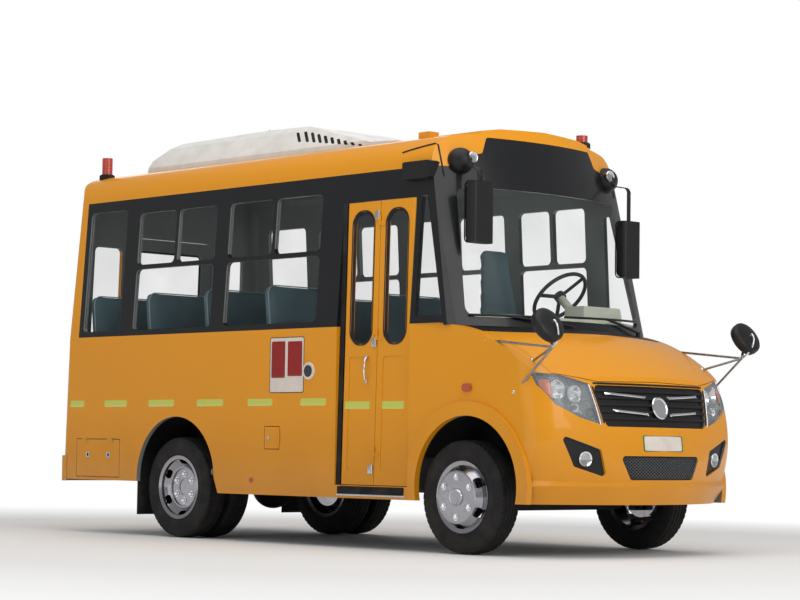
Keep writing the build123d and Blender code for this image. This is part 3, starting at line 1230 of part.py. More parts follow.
WHEEL_C = (1330.0, 450.0, 1790.0)
WHEEL_HUB_H = 40.0
STEER_SHAFT_R = 12.0
column_foot = Vector(1640, 450, 1500)
column_run = Vector(*WHEEL_C) - column_foot
with BuildPart() as column:
    with BuildSketch(Plane(origin=column_foot, z_dir=column_run)):
        Circle(30)
    extrude(amount=column_run.length - WHEEL_HUB_H / 2 - 0.3)
    with BuildSketch(Plane(origin=column_foot, z_dir=column_run)):
        Circle(STEER_SHAFT_R)
    extrude(amount=column_run.length + WHEEL_HUB_H / 4)
    add(dashboard.part, mode=Mode.SUBTRACT)
with BuildPart() as dash_and_column:
    add([dashboard.part, column.part])
save(dash_and_column.part, "dashboard")
wheel_plane = Plane(origin=WHEEL_C, z_dir=column_run)
with BuildPart() as steering_wheel:
    with Locations(wheel_plane.location):
        Torus(215, 14)
        Cylinder(42, WHEEL_HUB_H)
        with PolarLocations(110, 3, start_angle=90):
            Box(210, 26, 12)
        with Locations((0, 0, -WHEEL_HUB_H / 2 - 1)):
            Cylinder(STEER_SHAFT_R + PIN_CLEAR, 0.75 * WHEEL_HUB_H + 1.2, align=(Align.CENTER, Align.CENTER, Align.MIN),
                     mode=Mode.SUBTRACT)
save(steering_wheel.part, "steering_wheel")

DRIVER = (760.0, 420.0)
with BuildPart() as driver_seat:
    block((DRIVER[0], DRIVER[0] + 460), (DRIVER[1] - 240, DRIVER[1] + 240), (1330, 1440))
    fillet(driver_seat.edges().filter_by(Axis.Z), 40)
    with BuildSketch(Plane.XZ.offset(-DRIVER[1])):
        Polygon((DRIVER[0] + 70, 1440), (DRIVER[0] - 10, 1440), (DRIVER[0] - 110, 2190), (DRIVER[0] - 30, 2190), align=None)
    extrude(amount=225, both=True)
save(driver_seat.part, "driver_seat")

BENCHES = [(side, x) for side in (-1, 1) for x in (-2420, -1710, -1000, -290)]
SEAT_Z = 1180.0
BENCH_Y = (190.0, 930.0)
with BuildPart() as seat_frames:
    for side, x in BENCHES:
        ys = sorted((side * BENCH_Y[0], side * (HALF_WIDTH - WALL - 0.3)))
        block((x + 60, x + 460), ys, (SEAT_Z - 40, SEAT_Z))
        leg_y = sorted((side * (BENCH_Y[0] + 40), side * (BENCH_Y[0] + 80)))
        block((x + 150, x + 190), leg_y, (FLOOR_Z, SEAT_Z - 40))
        block((x + 360, x + 400), leg_y, (FLOOR_Z, SEAT_Z - 40))
    block((DRIVER[0] + 30, DRIVER[0] + 420), (DRIVER[1] - 200, DRIVER[1] + 200), (FLOOR_Z, 1330))
save(seat_frames.part, "seat_frames")
with BuildPart() as seat_cushions:
    for side, x in BENCHES:
        ys = sorted((side * BENCH_Y[0], side * BENCH_Y[1]))
        block((x + 90, x + 500), ys, (SEAT_Z, SEAT_Z + 110))
save(seat_cushions.part, "seat_cushions")
with BuildPart() as seat_backs:
    for side, x in BENCHES:
        with BuildSketch(Plane.XZ.offset(-side * (BENCH_Y[0] + BENCH_Y[1]) / 2)):
            Polygon((x + 89.7, SEAT_Z), (x + 10, SEAT_Z), (x - 70, 1890), (x + 5, 1890), align=None)
        extrude(amount=(BENCH_Y[1] - BENCH_Y[0]) / 2, both=True)
save(seat_backs.part, "seat_backs")
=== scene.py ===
# %% [markdown]
# A small yellow school bus, dressed for a studio picture.
# The solid model comes in as a fixed frame of named nodes, each riding on a moving body.
# This lesson adds what solids leave out: paint, glass, rubber, chrome, tread, seams, lamps and cloth.
# Every new piece is worked out as whole numpy arrays, in metres, in the same frame as the solids:
# +X runs forward, +Y to the bus's left and +Z up, with the ground at zero.

# %% Load the frame
import bpy
import bmesh
import math
import numpy as np
from mathutils import Matrix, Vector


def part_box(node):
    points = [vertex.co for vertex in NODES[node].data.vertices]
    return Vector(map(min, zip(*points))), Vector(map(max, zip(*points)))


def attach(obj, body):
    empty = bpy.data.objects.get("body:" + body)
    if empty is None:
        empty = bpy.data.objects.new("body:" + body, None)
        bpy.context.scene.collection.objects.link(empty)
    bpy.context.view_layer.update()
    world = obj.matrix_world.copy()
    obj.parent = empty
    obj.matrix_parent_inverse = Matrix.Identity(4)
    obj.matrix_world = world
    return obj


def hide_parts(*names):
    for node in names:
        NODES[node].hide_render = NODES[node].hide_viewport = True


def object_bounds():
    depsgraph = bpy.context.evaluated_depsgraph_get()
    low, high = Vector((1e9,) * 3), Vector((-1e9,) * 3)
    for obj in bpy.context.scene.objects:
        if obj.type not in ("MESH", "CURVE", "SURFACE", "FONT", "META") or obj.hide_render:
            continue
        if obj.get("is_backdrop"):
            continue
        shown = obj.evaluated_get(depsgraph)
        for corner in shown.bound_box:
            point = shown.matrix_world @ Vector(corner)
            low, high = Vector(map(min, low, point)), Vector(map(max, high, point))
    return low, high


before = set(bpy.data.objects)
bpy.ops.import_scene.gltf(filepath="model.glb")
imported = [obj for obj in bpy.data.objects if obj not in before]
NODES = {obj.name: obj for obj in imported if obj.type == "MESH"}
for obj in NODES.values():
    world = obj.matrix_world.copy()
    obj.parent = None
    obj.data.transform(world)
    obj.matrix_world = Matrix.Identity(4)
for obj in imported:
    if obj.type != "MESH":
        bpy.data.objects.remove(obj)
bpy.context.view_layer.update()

# %% [markdown]
# The camera stands low on the pavement ahead of the door side, with a long lens, so the sides stay
# nearly parallel.
# Its turn is written as the three directions of its own axes, because that is how a surveyed view is given.

# %% Camera
CAMERA_AT = np.array((12.408, -11.672, 0.6875))
LOOK = np.array((-0.72290, 0.68791, 0.06482))
SIDEWAYS = np.array((0.68936, 0.72442, 0.0))
ROLL = math.radians(0.807)
LENS_MM = 103.13
SENSOR_MM = 36.0
NEAR, DISTANT = 0.1, 200.0


def camera_matrix(at, look, sideways, roll):
    """Columns are the camera's right, up and back directions, right and up turned by roll about the view."""
    upright = np.cross(sideways, look)
    right = math.cos(roll) * sideways + math.sin(roll) * upright
    up = math.cos(roll) * upright - math.sin(roll) * sideways
    matrix = np.eye(4)
    matrix[:3, 0], matrix[:3, 1], matrix[:3, 2], matrix[:3, 3] = right, up, -look, at
    return matrix


optics = bpy.data.cameras.new("studio_camera")
optics.lens, optics.sensor_width = LENS_MM, SENSOR_MM
optics.clip_start, optics.clip_end = NEAR, DISTANT
camera = bpy.data.objects.new("studio_camera", optics)
bpy.context.scene.collection.objects.link(camera)
camera.matrix_world = Matrix(camera_matrix(CAMERA_AT, LOOK, SIDEWAYS, ROLL).tolist())
bpy.context.scene.camera = camera
bpy.context.scene.view_settings.view_transform = "Standard"

# %% [markdown]
# Shader sums are easier to read as formulas than as boxes and wires.
# A Wire wraps one output socket, so that adding or multiplying two of them adds the Math node for it.
# A Finish is one material being made: its tree, its main shader and the one method that adds any other node.


# %% Shader arithmetic
class Wire:
    """An output socket whose operators add Math nodes."""

    def __init__(self, tree, socket):
        self.tree, self.socket = tree, socket

    def math(self, operation, *terms):
        node = self.tree.nodes.new("ShaderNodeMath")
        node.operation = operation
        for place, term in zip(node.inputs, terms):
            connect(self.tree, term, place)
        return Wire(self.tree, node.outputs[0])

    def __add__(self, other): return self.math("ADD", self, other)
    def __radd__(self, other): return self.math("ADD", other, self)
    def __sub__(self, other): return self.math("SUBTRACT", self, other)
    def __mul__(self, other): return self.math("MULTIPLY", self, other)
    def __rmul__(self, other): return self.math("MULTIPLY", other, self)
    def __truediv__(self, other): return self.math("DIVIDE", self, other)
    def __pow__(self, other): return self.math("POWER", self, other)
    def __abs__(self): return self.math("ABSOLUTE", self)
    def over(self, level): return self.math("GREATER_THAN", self, level)
    def under(self, level): return self.math("LESS_THAN", self, level)
    def sine(self): return self.math("SINE", self)
    def wrap(self, size): return self.math("FLOORED_MODULO", self, size)
    def least(self, other): return self.math("MINIMUM", self, other)


def connect(tree, value, place):
    """Links a Wire to an input, or writes a plain value into it."""
    if isinstance(value, Wire):
        tree.links.new(value.socket, place)
    else:
        place.default_value = value


def linear(red, green, blue, alpha=1.0):
    """A colour given as 0-255 screen values, turned into the linear values that shaders take."""
    screen = np.array((red, green, blue)) / 255.0
    low, high = screen / 12.92, ((screen + 0.055) / 1.055) ** 2.4
    return (*np.where(screen <= 0.04045, low, high).tolist(), alpha)


def dim(colour, share):
    """The same colour with that share of its light."""
    return [c * share for c in colour[:3]] + [1.0]


class Finish:
    """A material with a Principled shader; settings are its fixed sockets."""

    def __init__(self, name, **settings):
        self.material = bpy.data.materials.new(name)
        self.material.use_nodes = True
        self.tree = self.material.node_tree
        self.shader = self.tree.nodes["Principled BSDF"]
        self.output = self.tree.nodes["Material Output"]
        for key, value in settings.items():
            self.set(key.replace("_", " "), value)

    def set(self, socket, value):
        connect(self.tree, value, self.shader.inputs[socket])

    def node(self, kind, settings=None, inputs=None, output=0):
        """Adds any node: its settings first, then its sockets by name or number."""
        node = self.tree.nodes.new("ShaderNode" + kind)
        for key, value in (settings or {}).items():
            setattr(node, key, value)
        for key, value in (inputs or {}).items():
            connect(self.tree, value, node.inputs[key])
        return Wire(self.tree, node.outputs[output])

    def place(self, output="Object"):
        return self.node("TexCoord", output=output)

    def axes(self, output="Object"):
        """The x, y and z of the point being shaded, as three Wires."""
        split = self.node("SeparateXYZ", inputs={0: self.place(output)})
        return [Wire(self.tree, split.socket.node.outputs[i]) for i in range(3)]

    def noise(self, scale, detail=2.0, where=None, roughness=0.5):
        inputs = {"Vector": where or self.place(), "Scale": scale, "Detail": detail, "Roughness": roughness}
        return self.node("TexNoise", inputs=inputs)

    def ramp(self, value, low, high, start=0.0, end=1.0):
        """Stretches value from low..high to start..end and stops it there."""
        settings = {"clamp": True}
        inputs = {"Value": value, "From Min": low, "From Max": high, "To Min": start, "To Max": end}
        return self.node("MapRange", settings, inputs)

    def mix(self, factor, first, second):
        settings = {"data_type": "RGBA"}
        return self.node("Mix", settings, {0: factor, 6: first, 7: second}, output=2)

    def bump(self, height, distance, strength=1.0):
        inputs = {"Height": height, "Distance": distance, "Strength": strength}
        self.set("Normal", self.node("Bump", inputs=inputs))


# %% [markdown]
# Paint on a bus is a flat colour under a clear coat, with a faint orange-peel ripple from the spray gun.
# Road film dulls it towards the skirt, so colour and roughness drift with height and with a soft noise.


# %% Paint and plastics
LINING = linear(132, 136, 134)


def paint(name, colour, dirt=linear(112, 76, 34), coat=0.35, rough=0.38, film=0.35):
    """Clear-coated paint whose lower edge carries a thin road film; faces that look inwards are grey lining.
    A face looks inwards where its normal points back towards the middle of the floor."""
    f = Finish(name, Roughness=rough, Coat_Weight=coat, Coat_Roughness=0.06, Specular_IOR_Level=0.25)
    height = f.axes()[2]
    patch = f.noise(2.3, 4.0)
    low = f.ramp(height, 0.30, 0.95, film, 0.0) * f.ramp(patch, 0.30, 0.75, 0.55, 1.0)
    tone = f.mix(f.ramp(f.noise(0.9, 2.0), 0.3, 0.7, 0.0, 0.10), colour, dim(colour, 0.80))
    (nx, ny, nz), (x, y, z) = f.axes("Normal"), f.axes()
    inward = (nx * x + ny * y + nz * (z - 0.3)).under(-0.15)
    lining = f.mix(patch, LINING, dim(LINING, 0.8))
    f.set("Base Color", f.mix(inward, f.mix(low, tone, dirt), lining))
    f.set("Roughness", f.ramp(patch, 0.3, 0.7, rough - 0.05, rough + 0.06) + low * 0.25 + inward * 0.3)
    f.bump(f.noise(260.0, 1.0), 0.00018, 0.35)
    return f.material


def plastic(name, colour, rough=0.5, grain=900.0, depth=0.00012, spread=0.06):
    """Moulded plastic: a fine pebble grain, and a roughness that drifts a little."""
    f = Finish(name, Base_Color=colour, Roughness=rough, Specular_IOR_Level=0.3)
    drift = f.noise(7.0, 3.0)
    f.set("Roughness", f.ramp(drift, 0.3, 0.7, rough - spread, rough + spread))
    f.set("Base Color", f.mix(f.ramp(drift, 0.35, 0.7), colour, dim(colour, 0.86)))
    f.bump(f.noise(grain, 1.0), depth, 0.5)
    return f.material


def metal(name, colour, rough=0.2, streak=0.05, scale=40.0):
    """Bare or plated metal: streaks in the roughness keep it from looking like a mirror ball."""
    f = Finish(name, Base_Color=colour, Metallic=1.0, Roughness=rough)
    f.set("Roughness", f.ramp(f.noise(scale, 5.0), 0.3, 0.7, max(rough - streak, 0.02), rough + streak))
    stain = f.ramp(f.noise(scale * 0.2, 3.0), 0.35, 0.75, 0.0, 0.35)
    f.set("Base Color", f.mix(stain, colour, dim(colour, 0.72)))
    return f.material


def pane(name, colour, alpha, rough=0.03):
    """Window glass as a thin dark film that light passes through; the reflection stays on top of it."""
    f = Finish(name, Base_Color=colour, Roughness=rough, Specular_IOR_Level=0.8)
    f.set("Alpha", f.ramp(f.noise(1.6, 2.0), 0.3, 0.7, alpha - 0.03, alpha + 0.03))
    return f.material


def rubber(name, colour, rough=0.72):
    """Soft black rubber with a dusty bloom in patches."""
    f = Finish(name, Roughness=rough, Specular_IOR_Level=0.35)
    bloom = f.ramp(f.noise(9.0, 5.0), 0.42, 0.75, 0.0, 0.45)
    f.set("Base Color", f.mix(bloom, colour, linear(66, 62, 58)))
    f.set("Roughness", rough + bloom * 0.15)
    f.bump(f.noise(1100.0, 2.0), 0.0002, 0.4)
    return f.material


def lens(name, colour, alpha=1.0, flutes=360.0):
    """A moulded lens: fine upright flutes on the inner side, and a colour that deepens in soft patches."""
    f = Finish(name, Roughness=0.08, Coat_Weight=0.9, Coat_Roughness=0.03, Alpha=alpha)
    x, y, z = f.axes()
    flute = ((x + y) * flutes).sine() * 0.5 + 0.5
    deep = f.ramp(f.noise(14.0, 2.0), 0.3, 0.7, 0.0, 0.4)
    f.set("Base Color", f.mix(deep, colour, dim(colour, 0.6)))
    f.set("Roughness", f.ramp(flute, 0.0, 1.0, 0.06, 0.16))
    f.bump(flute, 0.0006, 0.5)
    return f.material


YELLOW = linear(228, 150, 18)
paint_yellow = paint("paint_yellow", YELLOW)
clip_paint = paint("clip_paint", YELLOW, film=0.28)
band_gloss = paint("band_gloss", linear(24, 25, 28), coat=0.2, rough=0.3, film=0.0)
frame_paint = plastic("frame_paint", linear(24, 24, 26), rough=0.55, grain=300.0)
black_plastic = plastic("black_plastic", linear(26, 26, 28), rough=0.45)
unit_white = plastic("unit_white", linear(228, 226, 222), rough=0.42, grain=500.0, depth=0.00008)
dash_plastic = plastic("dash_plastic", linear(196, 202, 186), rough=0.6)
floor_sheet = plastic("floor_sheet", linear(92, 94, 96), rough=0.7, grain=420.0, depth=0.0004)
chrome = metal("chrome", linear(226, 226, 230), rough=0.09, streak=0.03)
rim_plate = metal("rim_plate", linear(168, 168, 173), rough=0.15, streak=0.05)
steel = metal("steel", linear(150, 150, 152), rough=0.32)
iron = metal("iron", linear(74, 74, 78), rough=0.55, streak=0.12, scale=20.0)
side_glass = pane("side_glass", linear(64, 72, 76), 0.07)
shield_glass = pane("shield_glass", linear(120, 134, 136), 0.05)
black_rubber = rubber("black_rubber", linear(22, 22, 23))
tyre_rubber = rubber("tyre_rubber", linear(27, 26, 27), rough=0.78)
seat_cloth = plastic("seat_cloth", linear(92, 116, 122), rough=0.85, grain=1400.0, depth=0.0004)
beacon_red = lens("beacon_red", linear(186, 54, 24), flutes=500.0)
lens_red = lens("lens_red", linear(132, 16, 14), flutes=240.0)
cover_glass = pane("cover_glass", linear(206, 214, 218), 0.20)


def small_lamp_finish():
    """One node holds several small lamps, so height and place pick the colour: amber ovals on the fenders,
    red markers low down, and dark glass in the header lamps and the call button."""
    f = Finish("small_lamp_finish", Roughness=0.12, Coat_Weight=0.8)
    x, y, z = f.axes()
    oval = x.over(1.6) * z.under(1.5)
    low_marker = z.under(0.6)
    flute = f.ramp((x * 700.0).sine(), -1.0, 1.0, 0.75, 1.0)
    amber = f.mix(flute, linear(120, 44, 20), linear(190, 84, 40))
    red = f.mix(flute, linear(110, 16, 10), linear(178, 34, 20))
    dark = f.mix(f.noise(30.0), linear(16, 17, 19), linear(52, 54, 60))
    f.set("Base Color", f.mix(low_marker, f.mix(oval, dark, amber), red))
    f.set("Roughness", f.ramp(flute, 0.75, 1.0, 0.10, 0.20))
    return f.material


small_lamp_glass = small_lamp_finish()


NOSE_MIRROR, SHELL_REACH = (2.560, 1.009, 1.481), 0.125


def mirror_bracket_finish():
    """The nose mirrors: black shells within SHELL_REACH of the mirror's middle, bright arms beyond it."""
    f = Finish("mirror_bracket_finish", Roughness=0.3)
    x, y, z = f.axes()
    reach = ((x - NOSE_MIRROR[0]) ** 2 + (abs(y) - NOSE_MIRROR[1]) ** 2 + (z - NOSE_MIRROR[2]) ** 2) ** 0.5
    arm = reach.over(SHELL_REACH)
    spots = f.noise(24.0, 3.0)
    bright = f.mix(spots, linear(120, 120, 122), linear(176, 176, 178))
    f.set("Base Color", f.mix(arm, linear(20, 20, 22), bright))
    f.set("Metallic", arm)
    f.set("Roughness", f.ramp(spots, 0.3, 0.7, 0.24, 0.40))
    return f.material


mirror_bracket = mirror_bracket_finish()

# %% [markdown]
# The solids keep their shapes and take their finishes here, node by node.

# %% Finishes of the solid nodes
FINISH_OF = {
    paint_yellow: "right_side left_side rear_wall roof hood emergency_door battery_hatch filler_flap "
                  "service_door_front_leaf service_door_rear_leaf rear_bumper",
    clip_paint: "front_clip",
    band_gloss: "left_window_band right_window_band header_board windshield_frame",
    black_plastic: "mirrors grilles fog_lamp_housings steering_wheel fuel_tank cowl_panel wipers",
    frame_paint: "chassis_frame front_axle rear_axle wheel_houses seat_frames",
    side_glass: "side_glass emergency_door_glass service_door_front_leaf_glass service_door_rear_leaf_glass",
    shield_glass: "windshield",
    dash_plastic: "dashboard",
    floor_sheet: "floor",
    rim_plate: "front_rim_left front_rim_right rear_rims_left rear_rims_right",
    steel: "gearbox_and_shaft exhaust",
    iron: "engine knuckle_left knuckle_right",
    tyre_rubber: "front_tyre_left front_tyre_right rear_tyres_left rear_tyres_right",
    black_rubber: "mud_flaps service_door_jamb",
    unit_white: "air_conditioner",
    beacon_red: "beacons",
    lens_red: "tail_lamps",
    cover_glass: "headlights",
    small_lamp_glass: "small_lamps",
    mirror_bracket: "cross_view_mirrors",
    seat_cloth: "driver_seat seat_backs seat_cushions",
}
dressed = set()
for finish, names in FINISH_OF.items():
    for node in names.split():
        NODES[node].data.materials.clear()
        NODES[node].data.materials.append(finish)
        dressed.add(node)
print("nodes with no finish yet:", sorted(set(NODES) - dressed))

# %% [markdown]
# Three kinds of surface make nearly every added piece.
# A tube carries a circle along a line, a turning spins a profile about an axle, a stack joins outlines.
# Each is an array of points over two parameters, and one function turns such an array into quads.


# %% Surfaces from arrays
def grid(points, wrap_u=False, wrap_v=False, caps=False):
    """points[i, j] is a point at (u_i, v_j); quads join neighbours, caps close the first and last rows."""
    points = np.asarray(points, float)
    rows, cols = points.shape[:2]
    index = np.arange(rows * cols).reshape(rows, cols)
    if wrap_u:
        index = np.vstack((index, index[:1]))
    if wrap_v:
        index = np.hstack((index, index[:, :1]))
    corners = (index[:-1, :-1], index[1:, :-1], index[1:, 1:], index[:-1, 1:])
    faces = np.stack([c.ravel() for c in corners], axis=1).tolist()
    if caps:
        faces += [index[0, :cols].tolist()[::-1], index[-1, :cols].tolist()]
    return points.reshape(-1, 3), faces


def join(*shapes):
    """Puts several (points, faces) shapes into one, renumbering the faces."""
    points, faces, start = [], [], 0
    for more_points, more_faces in shapes:
        points.append(more_points)
        faces += [[i + start for i in face] for face in more_faces]
        start += len(more_points)
    return np.vstack(points), faces


def moved(shape, at=(0, 0, 0), x_axis=(1, 0, 0), z_axis=(0, 0, 1)):
    """Turns a shape made about the origin to new x and z directions and puts it at a place."""
    z = np.array(z_axis, float) / np.linalg.norm(z_axis)
    x = np.array(x_axis, float) - np.dot(x_axis, z) * z
    x /= np.linalg.norm(x)
    return shape[0] @ np.stack((x, np.cross(z, x), z)) + np.array(at, float), shape[1]


def mirrored(shape):
    """The same shape on the other side of the bus; its faces are turned so that they still point outwards."""
    return shape[0] * (1, -1, 1), [face[::-1] for face in shape[1]]


def circle(count, phase=0.0):
    """Cosine and sine of evenly spaced angles, as two arrays."""
    angle = np.linspace(0, 2 * math.pi, count, endpoint=False) + phase
    return np.cos(angle), np.sin(angle)


def mm(text):
    """Reads points such as "13,0 11,7" in millimetres and returns them in metres."""
    return [tuple(float(number) / 1000 for number in point.split(",")) for point in text.split()]


def turning(profile, count=48):
    """Spins (radius, height) pairs about +Z: point = (radius cos a, radius sin a, height)."""
    profile = np.asarray(profile, float)
    cos, sin = circle(count)
    rings = np.stack((np.outer(profile[:, 0], cos), np.outer(profile[:, 0], sin),
                      np.repeat(profile[:, 1:], count, axis=1)), axis=2)
    return grid(rings, wrap_v=True, caps=True)


def tube(path, radius, count=12):
    """A circle of that radius carried along a line of points, kept square to the line at each of them."""
    path = np.asarray(path, float)
    along = np.gradient(path, axis=0)
    along /= np.linalg.norm(along, axis=1)[:, None]
    guide = np.array((0.0, 0.0, 1.0)) if abs(along[:, 2]).max() < 0.9 else np.array((0.31, 0.95, 0.05))
    side = np.cross(along, guide)
    side /= np.linalg.norm(side, axis=1)[:, None]
    other = np.cross(along, side)
    cos, sin = circle(count)
    radius = np.broadcast_to(np.asarray(radius, float), len(path))[:, None, None]
    ring = side[:, None] * cos[None, :, None] + other[:, None] * sin[None, :, None]
    points, faces = grid(path[:, None] + radius * ring, wrap_v=True, caps=True)
    return points, [face[::-1] for face in faces]


def rounded_outline(width, height, radius, steps=6):
    """Corner arcs of a rounded rectangle about the origin, counter-clockwise."""
    radius = min(radius, width / 2 - 1e-4, height / 2 - 1e-4)
    quarter = np.linspace(0, math.pi / 2, steps)
    corners = []
    for turn, (sx, sy) in enumerate(((1, 1), (-1, 1), (-1, -1), (1, -1))):
        angle = quarter + turn * math.pi / 2
        centre = (sx * (width / 2 - radius), sy * (height / 2 - radius))
        corners.append(np.array(centre) + radius * np.stack((np.cos(angle), np.sin(angle)), axis=1))
    return np.vstack(corners)


def stack(outlines, heights):
    """Outlines of equal point counts at rising heights along +Z, joined and closed at both ends."""
    layers = [np.column_stack((line, np.full(len(line), height))) for line, height in zip(outlines, heights)]
    return grid(np.stack(layers), wrap_v=True, caps=True)


def cushioned(width, height, depth, radius, edge, steps=6):
    """A rounded slab about the origin, from 0 to depth, whose front edge is rolled over by edge."""
    roll = np.linspace(0, math.pi / 2, 5)
    insets = edge * (1 - np.cos(roll))
    levels = depth - edge + edge * np.sin(roll)
    outlines = [rounded_outline(width - 2 * i, height - 2 * i, max(radius - i, 0.0005), steps)
                for i in (0.0, *insets)]
    return stack(outlines, [0.0, *levels])


def frame_ring(width, height, radius, band, depth, edge, steps=8):
    """A rounded rectangular moulding about the origin: its section is carried round the outline."""
    section = ((0.0, 0.0), (0.0, depth - edge), (edge, depth),
               (band - edge, depth), (band, depth - edge), (band, 0.0))
    rings = []
    for inset, height_here in section:
        loop = rounded_outline(width - 2 * inset, height - 2 * inset, max(radius - inset, 0.0005), steps)
        rings.append(np.column_stack((loop, np.full(len(loop), height_here))))
    return grid(np.stack(rings), wrap_u=True, wrap_v=True)


def piece(name, shape, finish, body="bus", slot=None, replaces=(), smooth=35.0, outward=True):
    """Makes one object from a shape, points its faces outwards and puts it on a moving body."""
    mesh = bpy.data.meshes.new(name)
    mesh.from_pydata(shape[0].tolist(), [], shape[1])
    work = bmesh.new()
    work.from_mesh(mesh)
    bmesh.ops.remove_doubles(work, verts=work.verts, dist=1e-6)
    if outward:
        bmesh.ops.recalc_face_normals(work, faces=work.faces)
    work.to_mesh(mesh)
    work.free()
    mesh.polygons.foreach_set("use_smooth", np.ones(len(mesh.polygons), bool))
    mesh.set_sharp_from_angle(angle=math.radians(smooth))
    mesh.materials.append(finish)
    made = bpy.data.objects.new(name, mesh)
    bpy.context.scene.collection.objects.link(made)
    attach(made, body)
    if replaces:
        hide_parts(*replaces)
    print(name, len(mesh.vertices), "points")
    return made


SIDES = ((-1, "right"), (1, "left"))


def pair(name, shape, finish, slot=None, drawn=-1, **more):
    """A piece on each side: drawn tells which side the shape is for, and the other gets its mirror image."""
    for side, word in SIDES:
        piece(f"{name}_{word}", shape if side == drawn else mirrored(shape), finish, slot=slot, **more)


# %% [markdown]
# A bus tyre is a torus with squared shoulders: grooves run round the crown, and blocks cut the shoulders.
# The tread is one surface over the turn and the section, where the radius dips wherever a groove passes.
# The sidewall keeps a smooth bead, a rim-protecting ridge and fine rings, with no lettering.

# %% Tyres
TYRE_R, SEAT_R, FLANGE_R = 0.377, 0.222, 0.238
TREAD_HALF = 0.072
LUG_COUNT = 54
GROOVE_DEPTH = 0.007
RIB_LINES = (-0.045, -0.015, 0.015, 0.045)


def tyre_surface(turns=LUG_COUNT * 6):
    """Section points (offset, radius) round the tyre; the radius is lowered where a groove or slot runs."""
    bead = [(-0.074, SEAT_R), (-0.079, FLANGE_R + 0.004)]
    bead += mm("-87,262 -92.5,280 -95,302 -94.2,304.5 -92.5,306 -91.5,322 -88,340 -83,358 -76,369.5")
    crown = np.linspace(-TREAD_HALF, TREAD_HALF, 49)
    round_off = 0.372 + 0.005 * (1 - (crown / TREAD_HALF) ** 2)
    section = np.array(bead + list(zip(crown, round_off)) + [(-s, r) for s, r in reversed(bead)])
    offset, radius = section[:, 0], section[:, 1]
    angle = np.linspace(0, 2 * math.pi, turns, endpoint=False)
    tread = abs(offset) <= TREAD_HALF + 1e-6
    rib = np.min(abs(offset[:, None] - np.array(RIB_LINES)), axis=1) < 0.0032
    zigzag = 0.30 * np.sin(offset * 110)
    phase = (angle[:, None] * LUG_COUNT / (2 * math.pi) + zigzag[None, :]) % 1.0
    slot = (phase < 0.17) & (abs(offset) > 0.047)[None, :] & (abs(offset) < 0.084)[None, :]
    sipe = (phase > 0.45) & (phase < 0.62) & (abs(offset) < 0.047)[None, :] & (abs(offset) > 0.018)[None, :]
    dip = np.where((tread & rib)[None, :], GROOVE_DEPTH, 0.0)
    dip = np.maximum(dip, np.where(slot, GROOVE_DEPTH * 0.8, 0.0))
    dip = np.maximum(dip, np.where(sipe, GROOVE_DEPTH * 0.35, 0.0))
    out = radius[None, :] - dip
    out[:, ~tread & (abs(offset) < 0.070)] = radius[~tread & (abs(offset) < 0.070)]
    return np.stack((out * np.cos(angle)[:, None], out * np.sin(angle)[:, None],
                     np.broadcast_to(offset, out.shape)), axis=2)


def tyre_shape(at_y, turns=LUG_COUNT * 6):
    """One tyre on its axle, with the bore closed by the seat between the beads."""
    return moved(grid(tyre_surface(turns), wrap_u=True, wrap_v=True), (0, at_y, TYRE_R), (1, 0, 0), (0, 1, 0))


def shifted(shape, x=0.0, y=0.0, z=0.0):
    return shape[0] + (x, y, z), shape[1]


FRONT_X, REAR_X = 1.750, -1.263
FRONT_Y, OUTER_Y, INNER_Y = 0.860, 0.855, 0.630
for side, word in SIDES:
    single = tyre_shape(side * FRONT_Y)
    piece(f"tread_front_{word}", shifted(single, FRONT_X), tyre_rubber, f"front_wheel_{word}",
          "tyre_black", [f"front_tyre_{word}"], smooth=28)
    twins = join(tyre_shape(side * OUTER_Y), tyre_shape(side * INNER_Y, LUG_COUNT * 3))
    piece(f"tread_rear_{word}", shifted(twins, REAR_X), tyre_rubber, f"rear_wheels_{word}",
          "tyre_black", [f"rear_tyres_{word}"], smooth=28)

# %% [markdown]
# Trim follows the panel that carries it, so it is drawn flat first and then laid on the solid.
# A ray along one axis finds the skin under each point, and the trim's own thickness is added on top of it.
# Blender's Shrinkwrap does this for all points at once, which is quicker than asking for one point at a time.

# %% Laying trim on the solids
FAR = 4.0


def landed(points, node, axis, sign):
    """Where rays along one axis from outside first meet a solid; points that meet nothing stay at FAR."""
    mesh = bpy.data.meshes.new("probe")
    mesh.from_pydata(points.tolist(), [], [])
    probe = bpy.data.objects.new("probe", mesh)
    bpy.context.scene.collection.objects.link(probe)
    wrap = probe.modifiers.new("land", "SHRINKWRAP")
    wrap.target, wrap.wrap_method = NODES[node], "PROJECT"
    wrap.use_project_x, wrap.use_project_y, wrap.use_project_z = axis == 0, axis == 1, axis == 2
    wrap.use_positive_direction, wrap.use_negative_direction = sign < 0, sign > 0
    found = np.empty(len(points) * 3)
    probe.evaluated_get(bpy.context.evaluated_depsgraph_get()).data.vertices.foreach_get("co", found)
    bpy.data.objects.remove(probe)
    bpy.data.meshes.remove(mesh)
    return found.reshape(-1, 3)[:, axis]


